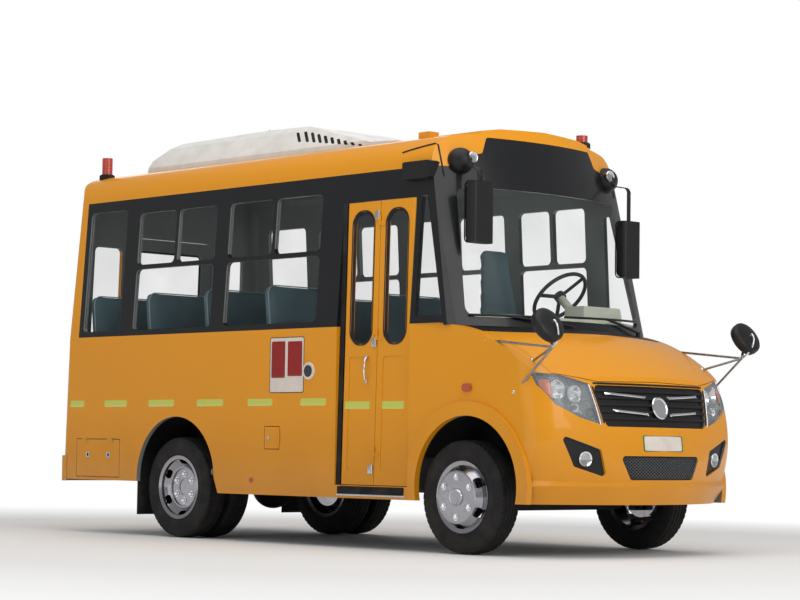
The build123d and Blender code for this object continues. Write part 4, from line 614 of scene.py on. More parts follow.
def on_skin(shape, nodes, axis=0, sign=1, fitted=False):
    """Lays a flat shape (a, b, height) on solids: the third coordinate is skin(a, b) + sign * height.
    Where no solid is met, or everywhere if fitted, skin is the quadratic in a and b nearest to the rest."""
    flat, faces = shape
    first, second = [i for i in range(3) if i != axis]
    points = np.full((len(flat), 3), sign * FAR)
    points[:, first], points[:, second] = flat[:, 0], flat[:, 1]
    skins = np.array([landed(points, node, axis, sign) for node in nodes.split()]) * sign
    skin = np.where(skins > FAR - 0.01, -np.inf, skins).max(axis=0)
    met = np.isfinite(skin)
    a, b = (flat[:, :2] - flat[:, :2].mean(axis=0)).T
    terms = np.stack((np.ones_like(a), a, b, a * a, a * b, b * b), axis=1)
    level = terms @ np.linalg.lstsq(terms[met], skin[met], rcond=None)[0]
    points[:, axis] = sign * (np.where(met & (not fitted), skin, level) + flat[:, 2])
    return points, faces


def skin_line(nodes, a, b, height=0.0, axis=0, sign=1, fitted=False):
    """Points (a, b) laid on solids and lifted by height, as the path of a tube."""
    flat = np.stack(np.broadcast_arrays(np.asarray(a, float), b, height), axis=1)
    return on_skin((flat, []), nodes, axis, sign, fitted)[0]


def skin_spot(node, a, b, height=0.0, step=0.01):
    """One place on the front of a solid; its eight neighbours stand in for it where the solid has a hole."""
    near = np.array([(a + i * step, b + j * step, height) for i in (-1, 0, 1) for j in (-1, 0, 1)])
    return on_skin((near, []), node)[0][4]


def slab(levels, left, right, top, base=-0.003, across=14, roll=8):
    """A thin closed plate over (a, b): at each level b a loop crosses the top and comes back under the base.
    The top stands at base + (top - base)(1 - |u|^roll)(1 - |v|^roll), with u and v from -1 to 1."""
    levels, left, right = (np.asarray(x, float) for x in (levels, left, right))
    u = np.cos(np.linspace(math.pi, 0, across))
    v = np.interp(levels, (levels[0], levels[-1]), (-1, 1))
    a = ((left + right) / 2)[:, None] + ((right - left) / 2)[:, None] * u
    b = np.broadcast_to(levels[:, None], a.shape)
    rise = (1 - abs(v) ** roll)[:, None] * (1 - abs(u) ** roll)[None, :]
    over = np.stack((a, b, base + (top - base) * rise), axis=2)
    under = np.stack((a, b, np.full_like(a, base - 0.001)), axis=2)[:, ::-1]
    return grid(np.concatenate((over, under), axis=1), wrap_v=True, caps=True)


def plate(at, width, height, radius, top, base=-0.003, rows=12, across=14, roll=8):
    """A slab with rounded corners: its half width is width/2 - r + sqrt(r^2 - past^2) on the corner arcs."""
    levels = -np.cos(np.linspace(0, math.pi, rows)) * height / 2
    past = np.maximum(abs(levels) - (height / 2 - radius), 0)
    half = width / 2 - radius + np.sqrt(np.maximum(radius ** 2 - past ** 2, 0)) + 1e-4
    return slab(at[1] + levels, at[0] - half, at[0] + half, top, base, across, roll)


def ring(at, width, height, radius, band, top, edge=0.002):
    """A flat rounded moulding about a place (a, b), ready to be laid on the skin."""
    points, faces = frame_ring(width, height, radius, band, top + 0.003, edge)
    return points + (at[0], at[1], -0.003), faces


# %% [markdown]
# Small parts have finishes of their own: reflective tape is a sheet of tiny hexagons that sends light back,
# a lamp's glass hides a bright bowl, and enamel signs are glossy and very even.

# %% Finishes of the small parts
def tape(name, colour):
    """Reflective tape: rows of cells, shown as a faint honeycomb in the colour and the gloss."""
    f = Finish(name, Roughness=0.22, Coat_Weight=0.8)
    x, y, z = f.axes()
    cell = abs(((x + y) * 420.0).sine() * (z * 420.0).sine())
    f.set("Base Color", f.mix(f.ramp(cell, 0.0, 0.4), dim(colour, 0.72), colour))
    f.set("Roughness", f.ramp(cell, 0.0, 0.5, 0.40, 0.20))
    f.bump(cell, 0.0003, 0.4)
    return f.material


def enamel(name, colour, rough=0.3):
    return plastic(name, colour, rough=rough, grain=700.0, depth=0.00004)


tape_lime = tape("tape_lime", linear(206, 214, 84))
sign_white = enamel("sign_white", linear(224, 214, 204))
sign_red = enamel("sign_red", linear(150, 34, 30))
plate_edge = enamel("plate_edge", linear(66, 128, 70), rough=0.35)
bright_trim = metal("bright_trim", linear(205, 205, 208), rough=0.26, streak=0.06)
bowl_chrome = metal("bowl_chrome", linear(236, 238, 240), rough=0.06, streak=0.02)
bowl_dark = metal("bowl_dark", linear(96, 98, 104), rough=0.24, streak=0.08)
mirror_glass = metal("mirror_glass", linear(190, 198, 204), rough=0.03, streak=0.01)
lens_amber = lens("lens_amber", linear(214, 92, 26))
bulb_glass = lens("bulb_glass", linear(226, 230, 232), 0.55, 900.0)
# Near-black rubber for gaskets, seams, collars and small dark parts; on the roof unit's slots the same black
# is painted shade.
near_black_and_slot_shade = rubber("near_black_and_slot_shade", linear(14, 14, 15), rough=0.8)

# %% [markdown]
# The side carries short lime reflective dashes on one line, a blank warning panel, a hatch with two latches
# and a lock on the filler flap. They are thin, so each is a slab a millimetre or so proud of the panel.

# %% Dashes and plates along the sides
DASH_Z, LEAF_DASH_Z, DASH_H, TAPE_T = 1.008, 0.984, 0.055, 0.0012
DASHES = tuple(mm("-2591,-2397 -2140,-1838 -1580,-1249 -992,-666 -402,-111 178,464"))    # both ends
LEAF_DASHES = {"rear": (0.626, 0.898), "front": (0.990, 1.232)}
TO_RIGHT = {"x_axis": (1, 0, 0), "z_axis": (0, -1, 0)}


def dash(low_x, high_x, z=DASH_Z):
    middle = ((low_x + high_x) / 2, z)
    return plate(middle, high_x - low_x, DASH_H, 0.004, TAPE_T, base=-0.0005, rows=6, across=6, roll=20)


def on_right(name, shapes, node, *finish_body_slot):
    """Lays one or more flat shapes on a solid of the right side."""
    piece(name, on_skin(join(*shapes), node, 1, -1), *finish_body_slot)


for side, word in SIDES:
    spans = DASHES if side < 0 else DASHES + tuple(LEAF_DASHES.values())
    strips = join(*[dash(*ends) for ends in spans])
    piece(f"dashes_{word}", on_skin(strips, f"{word}_side", 1, side), tape_lime)
for word, ends in LEAF_DASHES.items():
    on_right(f"dash_{word}_leaf", [dash(*ends, LEAF_DASH_Z)], f"service_door_{word}_leaf", tape_lime,
             f"door_{word}_leaf")

SIGN_AT, SIGN_W, SIGN_H = (0.034, 1.273), 0.378, 0.406
FIELDS = (((-0.058, 1.312), 0.158, 0.278), ((0.122, 1.316), 0.166, 0.264))      # middle (x, z), width, height
on_right("sign_panel", [plate(SIGN_AT, SIGN_W, SIGN_H, 0.022, 0.0022, rows=20, across=20, roll=40)],
         "right_side", sign_white)
on_right("sign_outline", [ring(SIGN_AT, SIGN_W - 0.008, SIGN_H - 0.008, 0.018, 0.005, 0.003)],
         "right_side", near_black_and_slot_shade)
on_right("sign_fields", [plate(*field, 0.020, 0.0034, rows=16, across=16, roll=40) for field in FIELDS],
         "right_side", sign_red)

# %% Latches, lock and call button
LATCHES = ((-2.335, 0.610), (-2.066, 0.610))
LATCH_W, PADDLE_W = 0.044, 0.026
LOCK_AT, BUTTON_AT = (-0.152, -1.0005, 0.752), (0.273, -1.0, 1.226)
on_right("hatch_latches", [ring(at, LATCH_W, LATCH_W, 0.008, 0.011, 0.006) for at in LATCHES],
         "battery_hatch", bright_trim, "battery_hatch", "steel_bare")
on_right("latch_paddles", [plate(at, PADDLE_W, PADDLE_W, 0.004, 0.003, rows=6, across=6) for at in LATCHES],
         "battery_hatch", near_black_and_slot_shade, "battery_hatch", "rubber_black")
lock = turning(mm("0,0 13,0 13,5 11,7 4,7 3,4 0,4"), 24)
piece("flap_lock", moved(lock, LOCK_AT, **TO_RIGHT), bright_trim, "filler_flap", "steel_bare")
bezel = turning(mm("43,0 62,0 62,6 58,10 47,11.5 43,10"), 40)
piece("button_bezel", moved(bezel, BUTTON_AT, **TO_RIGHT), sign_white)

# %% [markdown]
# The rear wall is plain: the emergency door has a rubber round its window, two hinge plates and a lever, and
# each tail lamp sits in a gasket. The lever is drawn over (y, z) and lands on the skin like any trim.
# The service door folds in two leaves. Each leaf's tall window sits in a rubber too, a hinge with three
# bright plates joins the leaves, and a bowed handle stands on the rear one.

# %% Window rubbers of the doors
RUBBERS = (                         # piece, panel, body, axis across the panel, corner radius, rubber's width
    ("window_rubber_exit", "emergency_door", "emergency_door", 0, 0.050, 0.028),
    ("window_rubber_rear", "service_door_rear_leaf", "door_rear_leaf", 1, 0.105, 0.026),
    ("window_rubber_front", "service_door_front_leaf", "door_front_leaf", 1, 0.105, 0.026),
)
RUBBER_PAST = 0.022                 # how much larger the rubber is than its glass
for name, panel, body, axis, radius, band in RUBBERS:
    low, high = (np.delete(np.array(corner, float), axis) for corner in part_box(f"{panel}_glass"))
    rubber_ring = ring((low + high) / 2, *(high - low + RUBBER_PAST), radius, band, 0.004)
    piece(name, on_skin(rubber_ring, f"{panel} {panel}_glass", axis, -1), black_rubber, body, "rubber_black",
          smooth=50)

# %% Rear trim
LEVER_Y, LEVER_Z, LEVER_OUT, LEVER_L, LEVER_R = -0.350, 1.215, 0.034, 0.120, 0.0075
EXIT_HINGE_Y, EXIT_HINGE_LEVELS = 0.378, (0.920, 2.180)
TAIL_Y, TAIL_Z, TAIL_W, TAIL_H, GASKET = 0.8525, 1.330, 0.125, 0.260, 0.022
lever_path = ((LEVER_Y, LEVER_Z, 0.0), (LEVER_Y, LEVER_Z, LEVER_OUT - 0.006),
              (LEVER_Y + 0.006, LEVER_Z, LEVER_OUT), (LEVER_Y + LEVER_L, LEVER_Z - 0.004, LEVER_OUT))
lever = tube(lever_path, LEVER_R, 14)
fittings = [lever, plate((LEVER_Y, LEVER_Z), 0.056, 0.100, 0.012, 0.007)]
fittings += [plate((EXIT_HINGE_Y, z), 0.064, 0.088, 0.008, 0.004) for z in EXIT_HINGE_LEVELS]
piece("exit_fittings", join(*[on_skin(shape, "emergency_door", 0, -1) for shape in fittings]), bright_trim,
      "emergency_door", "steel_bare")
gaskets = [ring((y, TAIL_Z), TAIL_W + GASKET, TAIL_H + GASKET, 0.016, 0.010, 0.006)
           for y in (-TAIL_Y, TAIL_Y)]
piece("tail_gaskets", join(*[on_skin(shape, "rear_wall", 0, -1) for shape in gaskets]), near_black_and_slot_shade, "bus",
      "rubber_black", smooth=50)

# %% Service door trim
FOLD_X, FOLD_Y, FOLD_Z, LEAF_LEAN = 0.947, -0.9995, 0.438, 0.0190      # the fold line leans with height
HINGE_LEVELS = (0.545, 1.412, 2.292)
HANDLE_X, HANDLE_Y, HANDLE_LEVELS = 0.842, -0.980, (1.148, 1.312)
hinges = []
hinge_leaf = moved(cushioned(0.036, 0.058, 0.003, 0.006, 0.001), **TO_RIGHT)
for z in HINGE_LEVELS:
    y = FOLD_Y + LEAF_LEAN * (z - FOLD_Z)
    hinges.append(tube([(FOLD_X - 0.014, y + 0.001, z - 0.032), (FOLD_X - 0.014, y, z + 0.032)], 0.0065, 12))
    hinges.append(shifted(hinge_leaf, FOLD_X - 0.038, y + 0.0035, z))
piece("leaf_hinges", join(*hinges), bright_trim, "door_rear_leaf", "steel_bare")
bow = np.linspace(0, math.pi, 17)
handle_path = np.stack((HANDLE_X + 0.012 * np.sin(bow), HANDLE_Y + 0.002 - 0.030 * np.sin(bow) ** 0.6,
                        np.interp(bow, (0, math.pi), HANDLE_LEVELS)), axis=1)
foot = turning(mm("0,-2 15,-2 15,4 11,7 0,7"), 20)
feet = [moved(foot, (HANDLE_X, HANDLE_Y, z), **TO_RIGHT) for z in HANDLE_LEVELS]
piece("door_handle", join(tube(handle_path, 0.0075, 14), *feet), chrome, "door_rear_leaf", "chrome_rim")
SILL_X = (0.556, 1.286)
SILLS = (                           # piece, level, height, radius, thickness, finish, slot
    ("door_sill", 0.400, 0.060, 0.006, 0.004, near_black_and_slot_shade, "rubber_black"),
    ("sill_trim", 0.367, 0.014, 0.004, 0.006, bright_trim, "steel_bare"),
)
for name, z, height, radius, top, finish, slot in SILLS:
    strip = plate((sum(SILL_X) / 2, z), SILL_X[1] - SILL_X[0], height, radius, top, rows=6, across=6, roll=20)
    piece(name, on_skin(strip, "right_side", 1, -1, fitted=True), finish, "bus", slot)

# %% [markdown]
# The face of the bus is its grille, lamps and lower intake. All of them lie on the rounded nose.
# The bars, ring and plates are laid along the driving direction, so that they wrap as the moulded parts do.

# %% Grille bars, blank badge and plate
BAR_H = 0.022
SLATS = (0.905, 0.950, 0.995, 1.040, 1.085)
BARS = (mm("105,1046 470,1067"), mm("105,935 425,956"))        # both ends (y, z) of the left half's bars


def bar(start, end, height=BAR_H, top=0.012):
    """A rounded bar between two (y, z) places: drawn level, then tilted by b = b + slope (a - a0)."""
    (a, b), (c, d) = start, end
    middle = ((a + c) / 2, (b + d) / 2)
    shape, faces = plate(middle, c - a, height, height / 2 - 0.001, top, -0.004, rows=8, across=20, roll=4)
    shape[:, 1] += (d - b) / (c - a) * (shape[:, 0] - (a + c) / 2)
    return shape, faces


def face_terms(y, z):
    """The nose across the grille: x = c0 + c1 y^2 + c2 y^4 + c3 z + c4 z^2 + c5 y^2 z."""
    return np.stack((np.ones_like(y), y ** 2, y ** 4, z, z * z, y * y * z), axis=1)


slat_y, slat_z = (values.ravel() for values in np.meshgrid(np.linspace(-0.46, 0.46, 25), SLATS))
slat_x = skin_line("grilles", slat_y, slat_z)[:, 0]
FACE = np.linalg.lstsq(face_terms(slat_y, slat_z), slat_x, rcond=None)[0]


def on_face(flat):
    """Puts (y, z, height) points on the smooth surface through the slats."""
    return np.column_stack((face_terms(flat[:, 0], flat[:, 1]) @ FACE + flat[:, 2], flat[:, 0], flat[:, 1]))


bars = [bar(*ends) for ends in BARS] + [bar((-end[0], end[1]), (-start[0], start[1])) for start, end in BARS]
piece("grille_bars", join(*[(on_face(points), faces) for points, faces in bars]), chrome, "bus", "chrome_rim")
BADGE_Z, BADGE_AXIS = 0.978, (0.965, 0.0, 0.262)
badge_at = (on_face(np.array([(0.0, BADGE_Z, 0.0)]))[0, 0] + 0.002, 0.0, BADGE_Z)
BADGE_PARTS = (                     # piece, profile, points round it, finish, slot
    ("badge_ring", "55,0 77,0 77,6 71,13 64,14 57,9", 56, chrome, "chrome_rim"),
    ("badge_blank", "0,0 57,0 57,4 30,7.5 0,9", 48, black_plastic, "black_plastic"),
)
for name, profile, count, finish, slot in BADGE_PARTS:
    piece(name, moved(turning(mm(profile), count), badge_at, (0, 1, 0), BADGE_AXIS), finish, "bus", slot)
PLATE_AT, PLATE_W, PLATE_H = (0.0, 0.745), 0.390, 0.100
number_plate = plate(PLATE_AT, PLATE_W, PLATE_H, 0.010, 0.006, rows=10, across=26, roll=30)
piece("blank_plate", on_skin(number_plate, "front_clip"), sign_white)
plate_rim = ring(PLATE_AT, PLATE_W + 0.004, PLATE_H + 0.004, 0.011, 0.006, 0.007)
piece("plate_edge", on_skin(plate_rim, "front_clip"), plate_edge)

# %% Black surround of the grille
side_levels = np.linspace(0.862, 1.118, 14)
side_inner = np.interp(side_levels, (0.850, 1.118), (0.502, 0.558))
side_outer = np.interp(side_levels, (0.856, 1.122), (0.520, 0.574))
side_strip = on_skin(slab(side_levels, -side_outer, -side_inner, 0.004, across=6, roll=16), "front_clip")
top_levels, top_half = np.linspace(1.1205, 1.1385, 5), np.full(5, 0.560)
top_strip = on_skin(slab(top_levels, -top_half, top_half, 0.004, across=40, roll=60), "front_clip")
surround = join(side_strip, mirrored(side_strip), top_strip)
piece("grille_surround", surround, black_plastic, "bus", "black_plastic")

# %% Lower mesh
MESH_LEVELS = np.linspace(0.512, 0.656, 45)
MESH_ACROSS, MESH_PITCH, MESH_LEAN = 151, 0.030, 1.4
WIRE_HALF, WIRE_RISE = 0.17, 0.007  # half width as a share of the pitch, and height
mesh_half = np.interp(MESH_LEVELS, (0.506, 0.662), (0.312, 0.398)) - 0.006
mesh_flat, mesh_faces = slab(MESH_LEVELS, -mesh_half, mesh_half, 0.002, -0.004, across=MESH_ACROSS, roll=30)
off_wire = [abs(((mesh_flat[:, 0] + lean * mesh_flat[:, 1]) / MESH_PITCH) % 1 - 0.5)
            for lean in (MESH_LEAN, -MESH_LEAN)]
wire_ridge = np.clip(1 - np.minimum(*off_wire) / WIRE_HALF, 0, 1)
mesh_flat[:, 2] += np.where(mesh_flat[:, 2] > -0.0045, WIRE_RISE * wire_ridge, 0)


def mesh_finish():
    """Diamond mesh: the wires are satin grey, and the cells between them are painted shade, nearly black, in
    place of the dark seen through open cells.
    """
    f = Finish("mesh_finish", Roughness=0.5)
    x, y, z = f.axes()
    line_a = abs(((y + z * MESH_LEAN) / MESH_PITCH).wrap(1.0) - 0.5)
    line_b = abs(((y - z * MESH_LEAN) / MESH_PITCH).wrap(1.0) - 0.5)
    wire = f.ramp(line_a.least(line_b), WIRE_HALF, 0.07)
    # The near-black of the cells is painted shade: the slab is closed, so nothing behind the mesh shows.
    f.set("Base Color", f.mix(wire, linear(10, 10, 11), linear(78, 80, 84)))
    f.set("Roughness", f.ramp(wire, 0.0, 1.0, 0.8, 0.35))
    return f.material


piece("lower_mesh", on_skin((mesh_flat, mesh_faces), "grilles", 0, 1, fitted=True), mesh_finish(), "bus",
      "black_plastic", smooth=60)

# %% [markdown]
# A headlamp is a clear cover over a deep housing with two bright bowls, a dark projector and an amber corner.
# The housing is one dish: its depth behind the cover grows from nothing at the rim to its full depth inside.

# %% Headlamps
LAMP_LOW, LAMP_HIGH, LAMP_DEPTH, LAMP_INSET = 0.868, 1.182, 0.085, 0.006
INNER_EDGE = mm("856,538 1122,584 1178,772 1190,926")          # z, y along the inner and top edge
OUTER_EDGE = mm("856,540 905,694 985,854 1110,922 1190,930")
COVER_T = 0.016
LAMP_OUT = (0.955, -0.23, 0.10)
LAMP_BOWLS = (                      # place (y, z), radius, distance behind the cover
    ((-0.792, 1.083), 0.058, 0.050), ((-0.668, 1.058), 0.052, 0.052),
    ((-0.596, 1.012), 0.030, 0.034), ((-0.705, 0.968), 0.030, 0.030),
)
BIG_BOWL = 0.040                    # bowls with a larger radius hold a bulb, and the others a dark projector


def lamp_sheet(rows=26, across=30):
    """Fills the lamp's outline; the dish falls away inside by depth (1 - |u|^5)(1 - |v|^5)."""
    levels = np.linspace(LAMP_LOW, LAMP_HIGH, rows)
    inner = np.interp(levels, *zip(*INNER_EDGE)) + LAMP_INSET
    outer = np.maximum(np.interp(levels, *zip(*OUTER_EDGE)) - LAMP_INSET, inner + 0.004)
    u, v = np.linspace(-1, 1, across), np.linspace(-1, 1, rows)
    a = ((inner + outer) / 2)[:, None] + ((outer - inner) / 2)[:, None] * u
    dish = (1 - abs(v) ** 5)[:, None] * (1 - abs(u) ** 5)[None, :]
    b = np.broadcast_to(levels[:, None], a.shape)
    return grid(np.stack((-a, b, -COVER_T - LAMP_DEPTH * dish), axis=2))


bowl_parts, bulb_parts, dark_parts = [], [], []
for place, radius, behind in LAMP_BOWLS:
    curve = np.linspace(0.12, 1.0, 9)
    profile = [(radius * c, -0.040 + 0.040 * c ** 2) for c in curve]
    profile += [(radius * 1.06, 0.002), (radius * 1.08, -0.004), (radius, -0.012), (radius * 0.12, -0.046)]
    dome = [(0.0, -0.044), (radius * 0.26, -0.040), (radius * 0.30, -0.024), (radius * 0.22, -0.010),
            (0.0, -0.004)]
    at = skin_spot("headlights", *place, -behind)
    bowl_parts.append(moved(turning(profile, 32), at, (0, 1, 0), LAMP_OUT))
    inside = bulb_parts if radius > BIG_BOWL else dark_parts
    inside.append(moved(turning(dome, 20), at, (0, 1, 0), LAMP_OUT))
hole = turning(mm("0,-30 26,-30 30,0 26,4 22,-12 0,-16"), 24)
dark_parts.append(moved(hole, skin_spot("headlights", -0.588, 0.935, -0.030), (0, 1, 0), LAMP_OUT))
corner = plate((-0.874, 1.088), 0.060, 0.120, 0.024, -0.018, base=-0.030, rows=12, across=10, roll=6)
edge_z = np.linspace(0.862, 1.120, 14)
edge_y = -np.interp(edge_z, *zip(*INNER_EDGE)) - 0.004
edge = tube(skin_line("headlights front_clip", edge_y, edge_z, -0.002, fitted=True), 0.0055, 10)
pair("lamp_housing", on_skin(lamp_sheet(), "headlights"), bowl_dark, "chrome_rim", smooth=60, outward=False)
pair("lamp_bowls", join(*bowl_parts), bowl_chrome, "chrome_rim", smooth=50)
pair("lamp_bulbs", join(*bulb_parts), bulb_glass, "lens_clear", smooth=50)
pair("lamp_darks", join(*dark_parts), near_black_and_slot_shade, "black_plastic", smooth=50)
pair("lamp_corner", on_skin(corner, "headlights"), lens_amber, "lens_red", smooth=50)
pair("lamp_edge", edge, chrome, "chrome_rim", smooth=50)

# %% Fog lamps
FOG_Y, FOG_Z, FOG_OUT = -0.655, 0.640, (0.97, -0.22, -0.03)
fog_place = skin_spot("fog_lamp_housings", FOG_Y, FOG_Z, step=0.02) + (0.003, 0, 0)
fog_cover = lens("fog_cover", linear(150, 154, 158), 0.4, 900.0)
FOG_PARTS = (                       # piece, profile, points round it, finish, slot
    ("fog_rim", "42,-4 52,-4 52,4 48,9 42,6", 36, chrome, "chrome_rim"),
    ("fog_bowl", "0,-3 43,-3 43,2 28,-1 8,-2 0,-2", 32, bowl_dark, "chrome_rim"),
    ("fog_glass", "0,-1 42,1 42,4 30,9 12,11.5 0,12", 32, fog_cover, "lens_clear"),
)
for name, profile, count, finish, slot in FOG_PARTS:
    pair(name, moved(turning(mm(profile), count), fog_place, (0, 1, 0), FOG_OUT), finish, slot, smooth=50)

# %% [markdown]
# Wheels: every nut is a six-sided turning with a domed end, on a circle about the axle.

# %% Wheel nuts and caps
NUT_R, NUT_DOME, NUT_COUNT = 0.0165, 0.004, 6
WASHER_T = 0.0025


def nut_ring(height, washer_r, radius):
    """Wheel nuts round +Z: each is a six-sided prism with a domed end on a round washer, turned to place."""
    sides = ((0.0, 0.0), (NUT_R, 0.0), (NUT_R, height - NUT_DOME), (NUT_R * 0.72, height), (0.0, height))
    prism = turning(sides, 6)
    washer = turning([(0.0, -0.001), (washer_r, -0.001), (washer_r, WASHER_T), (0.0, WASHER_T)], 24)
    nut, copies = join(prism, washer), []
    for turn in (np.arange(NUT_COUNT) * 2 + 1) * math.pi / NUT_COUNT:
        cos, sin = math.cos(turn), math.sin(turn)
        spin = np.array(((cos, sin, 0), (-sin, cos, 0), (0, 0, 1.0)))
        copies.append(((nut[0] + (radius, 0, 0)) @ spin, nut[1]))
    return join(*copies)


cap = join(turning(mm("36,0 58,0 56,10 50,15.5 42,13 36,6"), 48),
           turning(mm("0,0 34,0 34,6 20,12 0,13.5"), 40))
HUB_PARTS = (                       # piece, shape, axle, face of the hub, finish, body, smoothing angle
    ("front_nuts", nut_ring(0.016, 0.023, 0.133), FRONT_X, 0.9955, chrome, "front_wheel", 35.0),
    ("front_cap", cap, FRONT_X, 0.9965, bright_trim, "front_wheel", 50.0),
    ("rear_nuts", nut_ring(0.020, 0.024, 0.100), REAR_X, 0.8785, chrome, "rear_wheels", 35.0),
)
for side, word in SIDES:
    for name, shape, x, y, finish, body, angle in HUB_PARTS:
        piece(f"{name}_{word}", moved(shape, (x, side * y, TYRE_R), (1, 0, 0), (0, side, 0)), finish,
              f"{body}_{word}", "chrome_rim", smooth=angle)

# %% [markdown]
# The roof unit breathes through a row of slanted slots along each shoulder of its front half.
# Each slot is painted shade: a near-black slab standing in for the dark inside the opening, whose middle line
# leans forward as it comes down, laid on the housing from the side.

# %% Roof unit slots and beacon collars
SLOT_COUNT, SLOT_PITCH, SLOT_HALF = 11, 0.087, 0.0185
SLOT_X, SLOT_LEAN = -0.500, 0.95


def slot_shape(place):
    """One oval slot: half width h sqrt(1 - v^8) about a line that leans with height."""
    x = SLOT_X + place * SLOT_PITCH
    top = min(3.048, 3.060 - 0.247 * (x + 0.44))
    levels = np.linspace(2.955 - 0.0100 * place, top, 12)
    half = SLOT_HALF * np.sqrt(1.0001 - np.linspace(-1, 1, 12) ** 8)
    middle = x + SLOT_LEAN * (top - levels)
    return slab(levels, middle - half, middle + half, 0.0025, base=-0.002, across=8, roll=10)


# The slots' near-black is painted shade on closed slabs laid over the housing.
slots = join(*[slot_shape(place) for place in range(SLOT_COUNT)])
for side, word in SIDES:
    piece(f"unit_slots_{word}", on_skin(slots, "air_conditioner", 1, side), near_black_and_slot_shade)
UNIT_SEAM_X, UNIT_SEAM_HALF = -0.965, 0.36
seam_y = np.linspace(-UNIT_SEAM_HALF, UNIT_SEAM_HALF, 9)
seam = skin_line("air_conditioner", np.full(9, UNIT_SEAM_X), seam_y, 0.0015, axis=2)
piece("unit_seam", tube(seam, 0.004, 8), near_black_and_slot_shade)
low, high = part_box("air_conditioner")
unit_length = np.linspace(low[0] + 0.01, high[0] - 0.05, 40)
gasket = tube(skin_line("roof", unit_length, high[1] + 0.006, 0.004, axis=2), 0.007, 8)
pair("unit_gasket", gasket, black_rubber, "rubber_black", drawn=1)

BEACONS = mm("-2505,-750,2985 -2505,750,2985 1450,536,2949")      # x, y, top
RIB_DROPS = (0.010, 0.034, 0.058, 0.082)
collar = turning(mm("40,-22 62,-22 62,8 56,16 46,20 40,18"), 40)
rib = turning(mm("41.5,0 43.5,2 43.5,4 41.5,6"), 40)
collars = []
for x, y, top in BEACONS:
    beside = skin_line("roof header_board", [x], y - math.copysign(0.075, y), axis=2)
    collars.append(shifted(collar, x, y, beside[0, 2]))
piece("beacon_collars", join(*collars), near_black_and_slot_shade, "bus", "rubber_black", smooth=50)
ribs = join(*[shifted(rib, x, y, top - drop) for x, y, top in BEACONS for drop in RIB_DROPS])
piece("beacon_ribs", ribs, beacon_red, "bus", "beacon_red")

# %% [markdown]
# Driving mirrors look backwards: the glass is a shallow curved sheet in the rear face of each shell.
# The nose mirrors are domes on bright arms that end in ball feet.

# %% Mirrors
MIRROR_SHELLS = (                   # word, place of the shell's rear face, width, height
    ("right", (1.673, -0.775, 2.275), 0.200, 0.415),
    ("left", (1.655, 0.765, 2.130), 0.180, 0.405),
)
for word, at, width, height in MIRROR_SHELLS:
    glass = plate((0, 0), width - 0.024, height - 0.026, 0.030, 0.0035, base=0.0, rows=24, across=16, roll=6)
    piece(f"mirror_glass_{word}", moved(glass, at, (0, 1, 0), (-1, 0, 0)), mirror_glass, "bus", "chrome_rim",
          smooth=60)
    rim = frame_ring(width, height, 0.034, 0.011, 0.006, 0.003)
    piece(f"mirror_rim_{word}", moved(rim, at, (0, 1, 0), (-1, 0, 0)), black_plastic, "bus", "black_plastic")

# %% Nose mirrors
NOSE_MIRROR_R, NOSE_BACK = 0.115, (0.866, 0.0, 0.5)
ARM_FEET = (                        # place, direction
    ((1.960, 0.940, 1.405), (0.2, 0.9, 0.4)), ((2.235, 0.960, 1.060), (0.1, 1.0, 0.05)),
    ((2.290, 0.860, 1.262), (0.5, 0.5, 0.7)),
)
RISER_PATH = mm("2566,966,1346 2604,972,1372 2634,990,1425 2638,1004,1480 2618,1009,1512 2600,1009,1500")


def smooth_path(points, per_span=6):
    """Catmull-Rom curve: each span blends its four nearest points with the cubic that keeps the slope."""
    points = np.asarray(points, float)
    held = np.vstack((2 * points[0] - points[1], points, 2 * points[-1] - points[-2]))
    t = np.linspace(0, 1, per_span, endpoint=False)[:, None, None]
    a, b, c, d = held[:-3], held[1:-2], held[2:-1], held[3:]
    bend, twist = 2 * a - 5 * b + 4 * c - d, 3 * b - a - 3 * c + d
    curve = 0.5 * (2 * b + (c - a) * t + bend * t ** 2 + twist * t ** 3)
    return np.vstack((curve.transpose(1, 0, 2).reshape(-1, 3), points[-1:]))


turns = np.linspace(0, math.pi / 2, 10)
dome = [(NOSE_MIRROR_R * 1.03, -0.010), (NOSE_MIRROR_R * 1.03, 0.016)]
dome += [(NOSE_MIRROR_R * 1.01 * math.cos(t), 0.020 + 0.030 * math.sin(t)) for t in turns[1:-1]]
dome += [(0.0, 0.050)]
bulge = mm("0,-40 40,-38.5 80,-34 108,-27 108,-24 0,-24")
ball = mm("0,-4 14,-4 17,0 17,6")
ball += [(0.016 * math.cos(t), 0.012 + 0.014 * math.sin(t)) for t in turns[:-1]] + [(0.0, 0.026)]
shell, glass = (moved(turning(profile, 48), NOSE_MIRROR, (0, 1, 0), NOSE_BACK) for profile in (dome, bulge))
balls = join(*[moved(turning(ball, 20), at, (1, 0, 0.1), out) for at, out in ARM_FEET])
pair("nose_mirror_shell", shell, black_plastic, "black_plastic", drawn=1, smooth=60)
pair("nose_mirror_glass", glass, mirror_glass, "chrome_rim", drawn=1, smooth=60)
pair("nose_mirror_feet", balls, bright_trim, "chrome_rim", drawn=1, smooth=60)
pair("nose_mirror_riser", tube(smooth_path(RISER_PATH), 0.0075, 12), chrome, "chrome_rim", drawn=1, smooth=60)

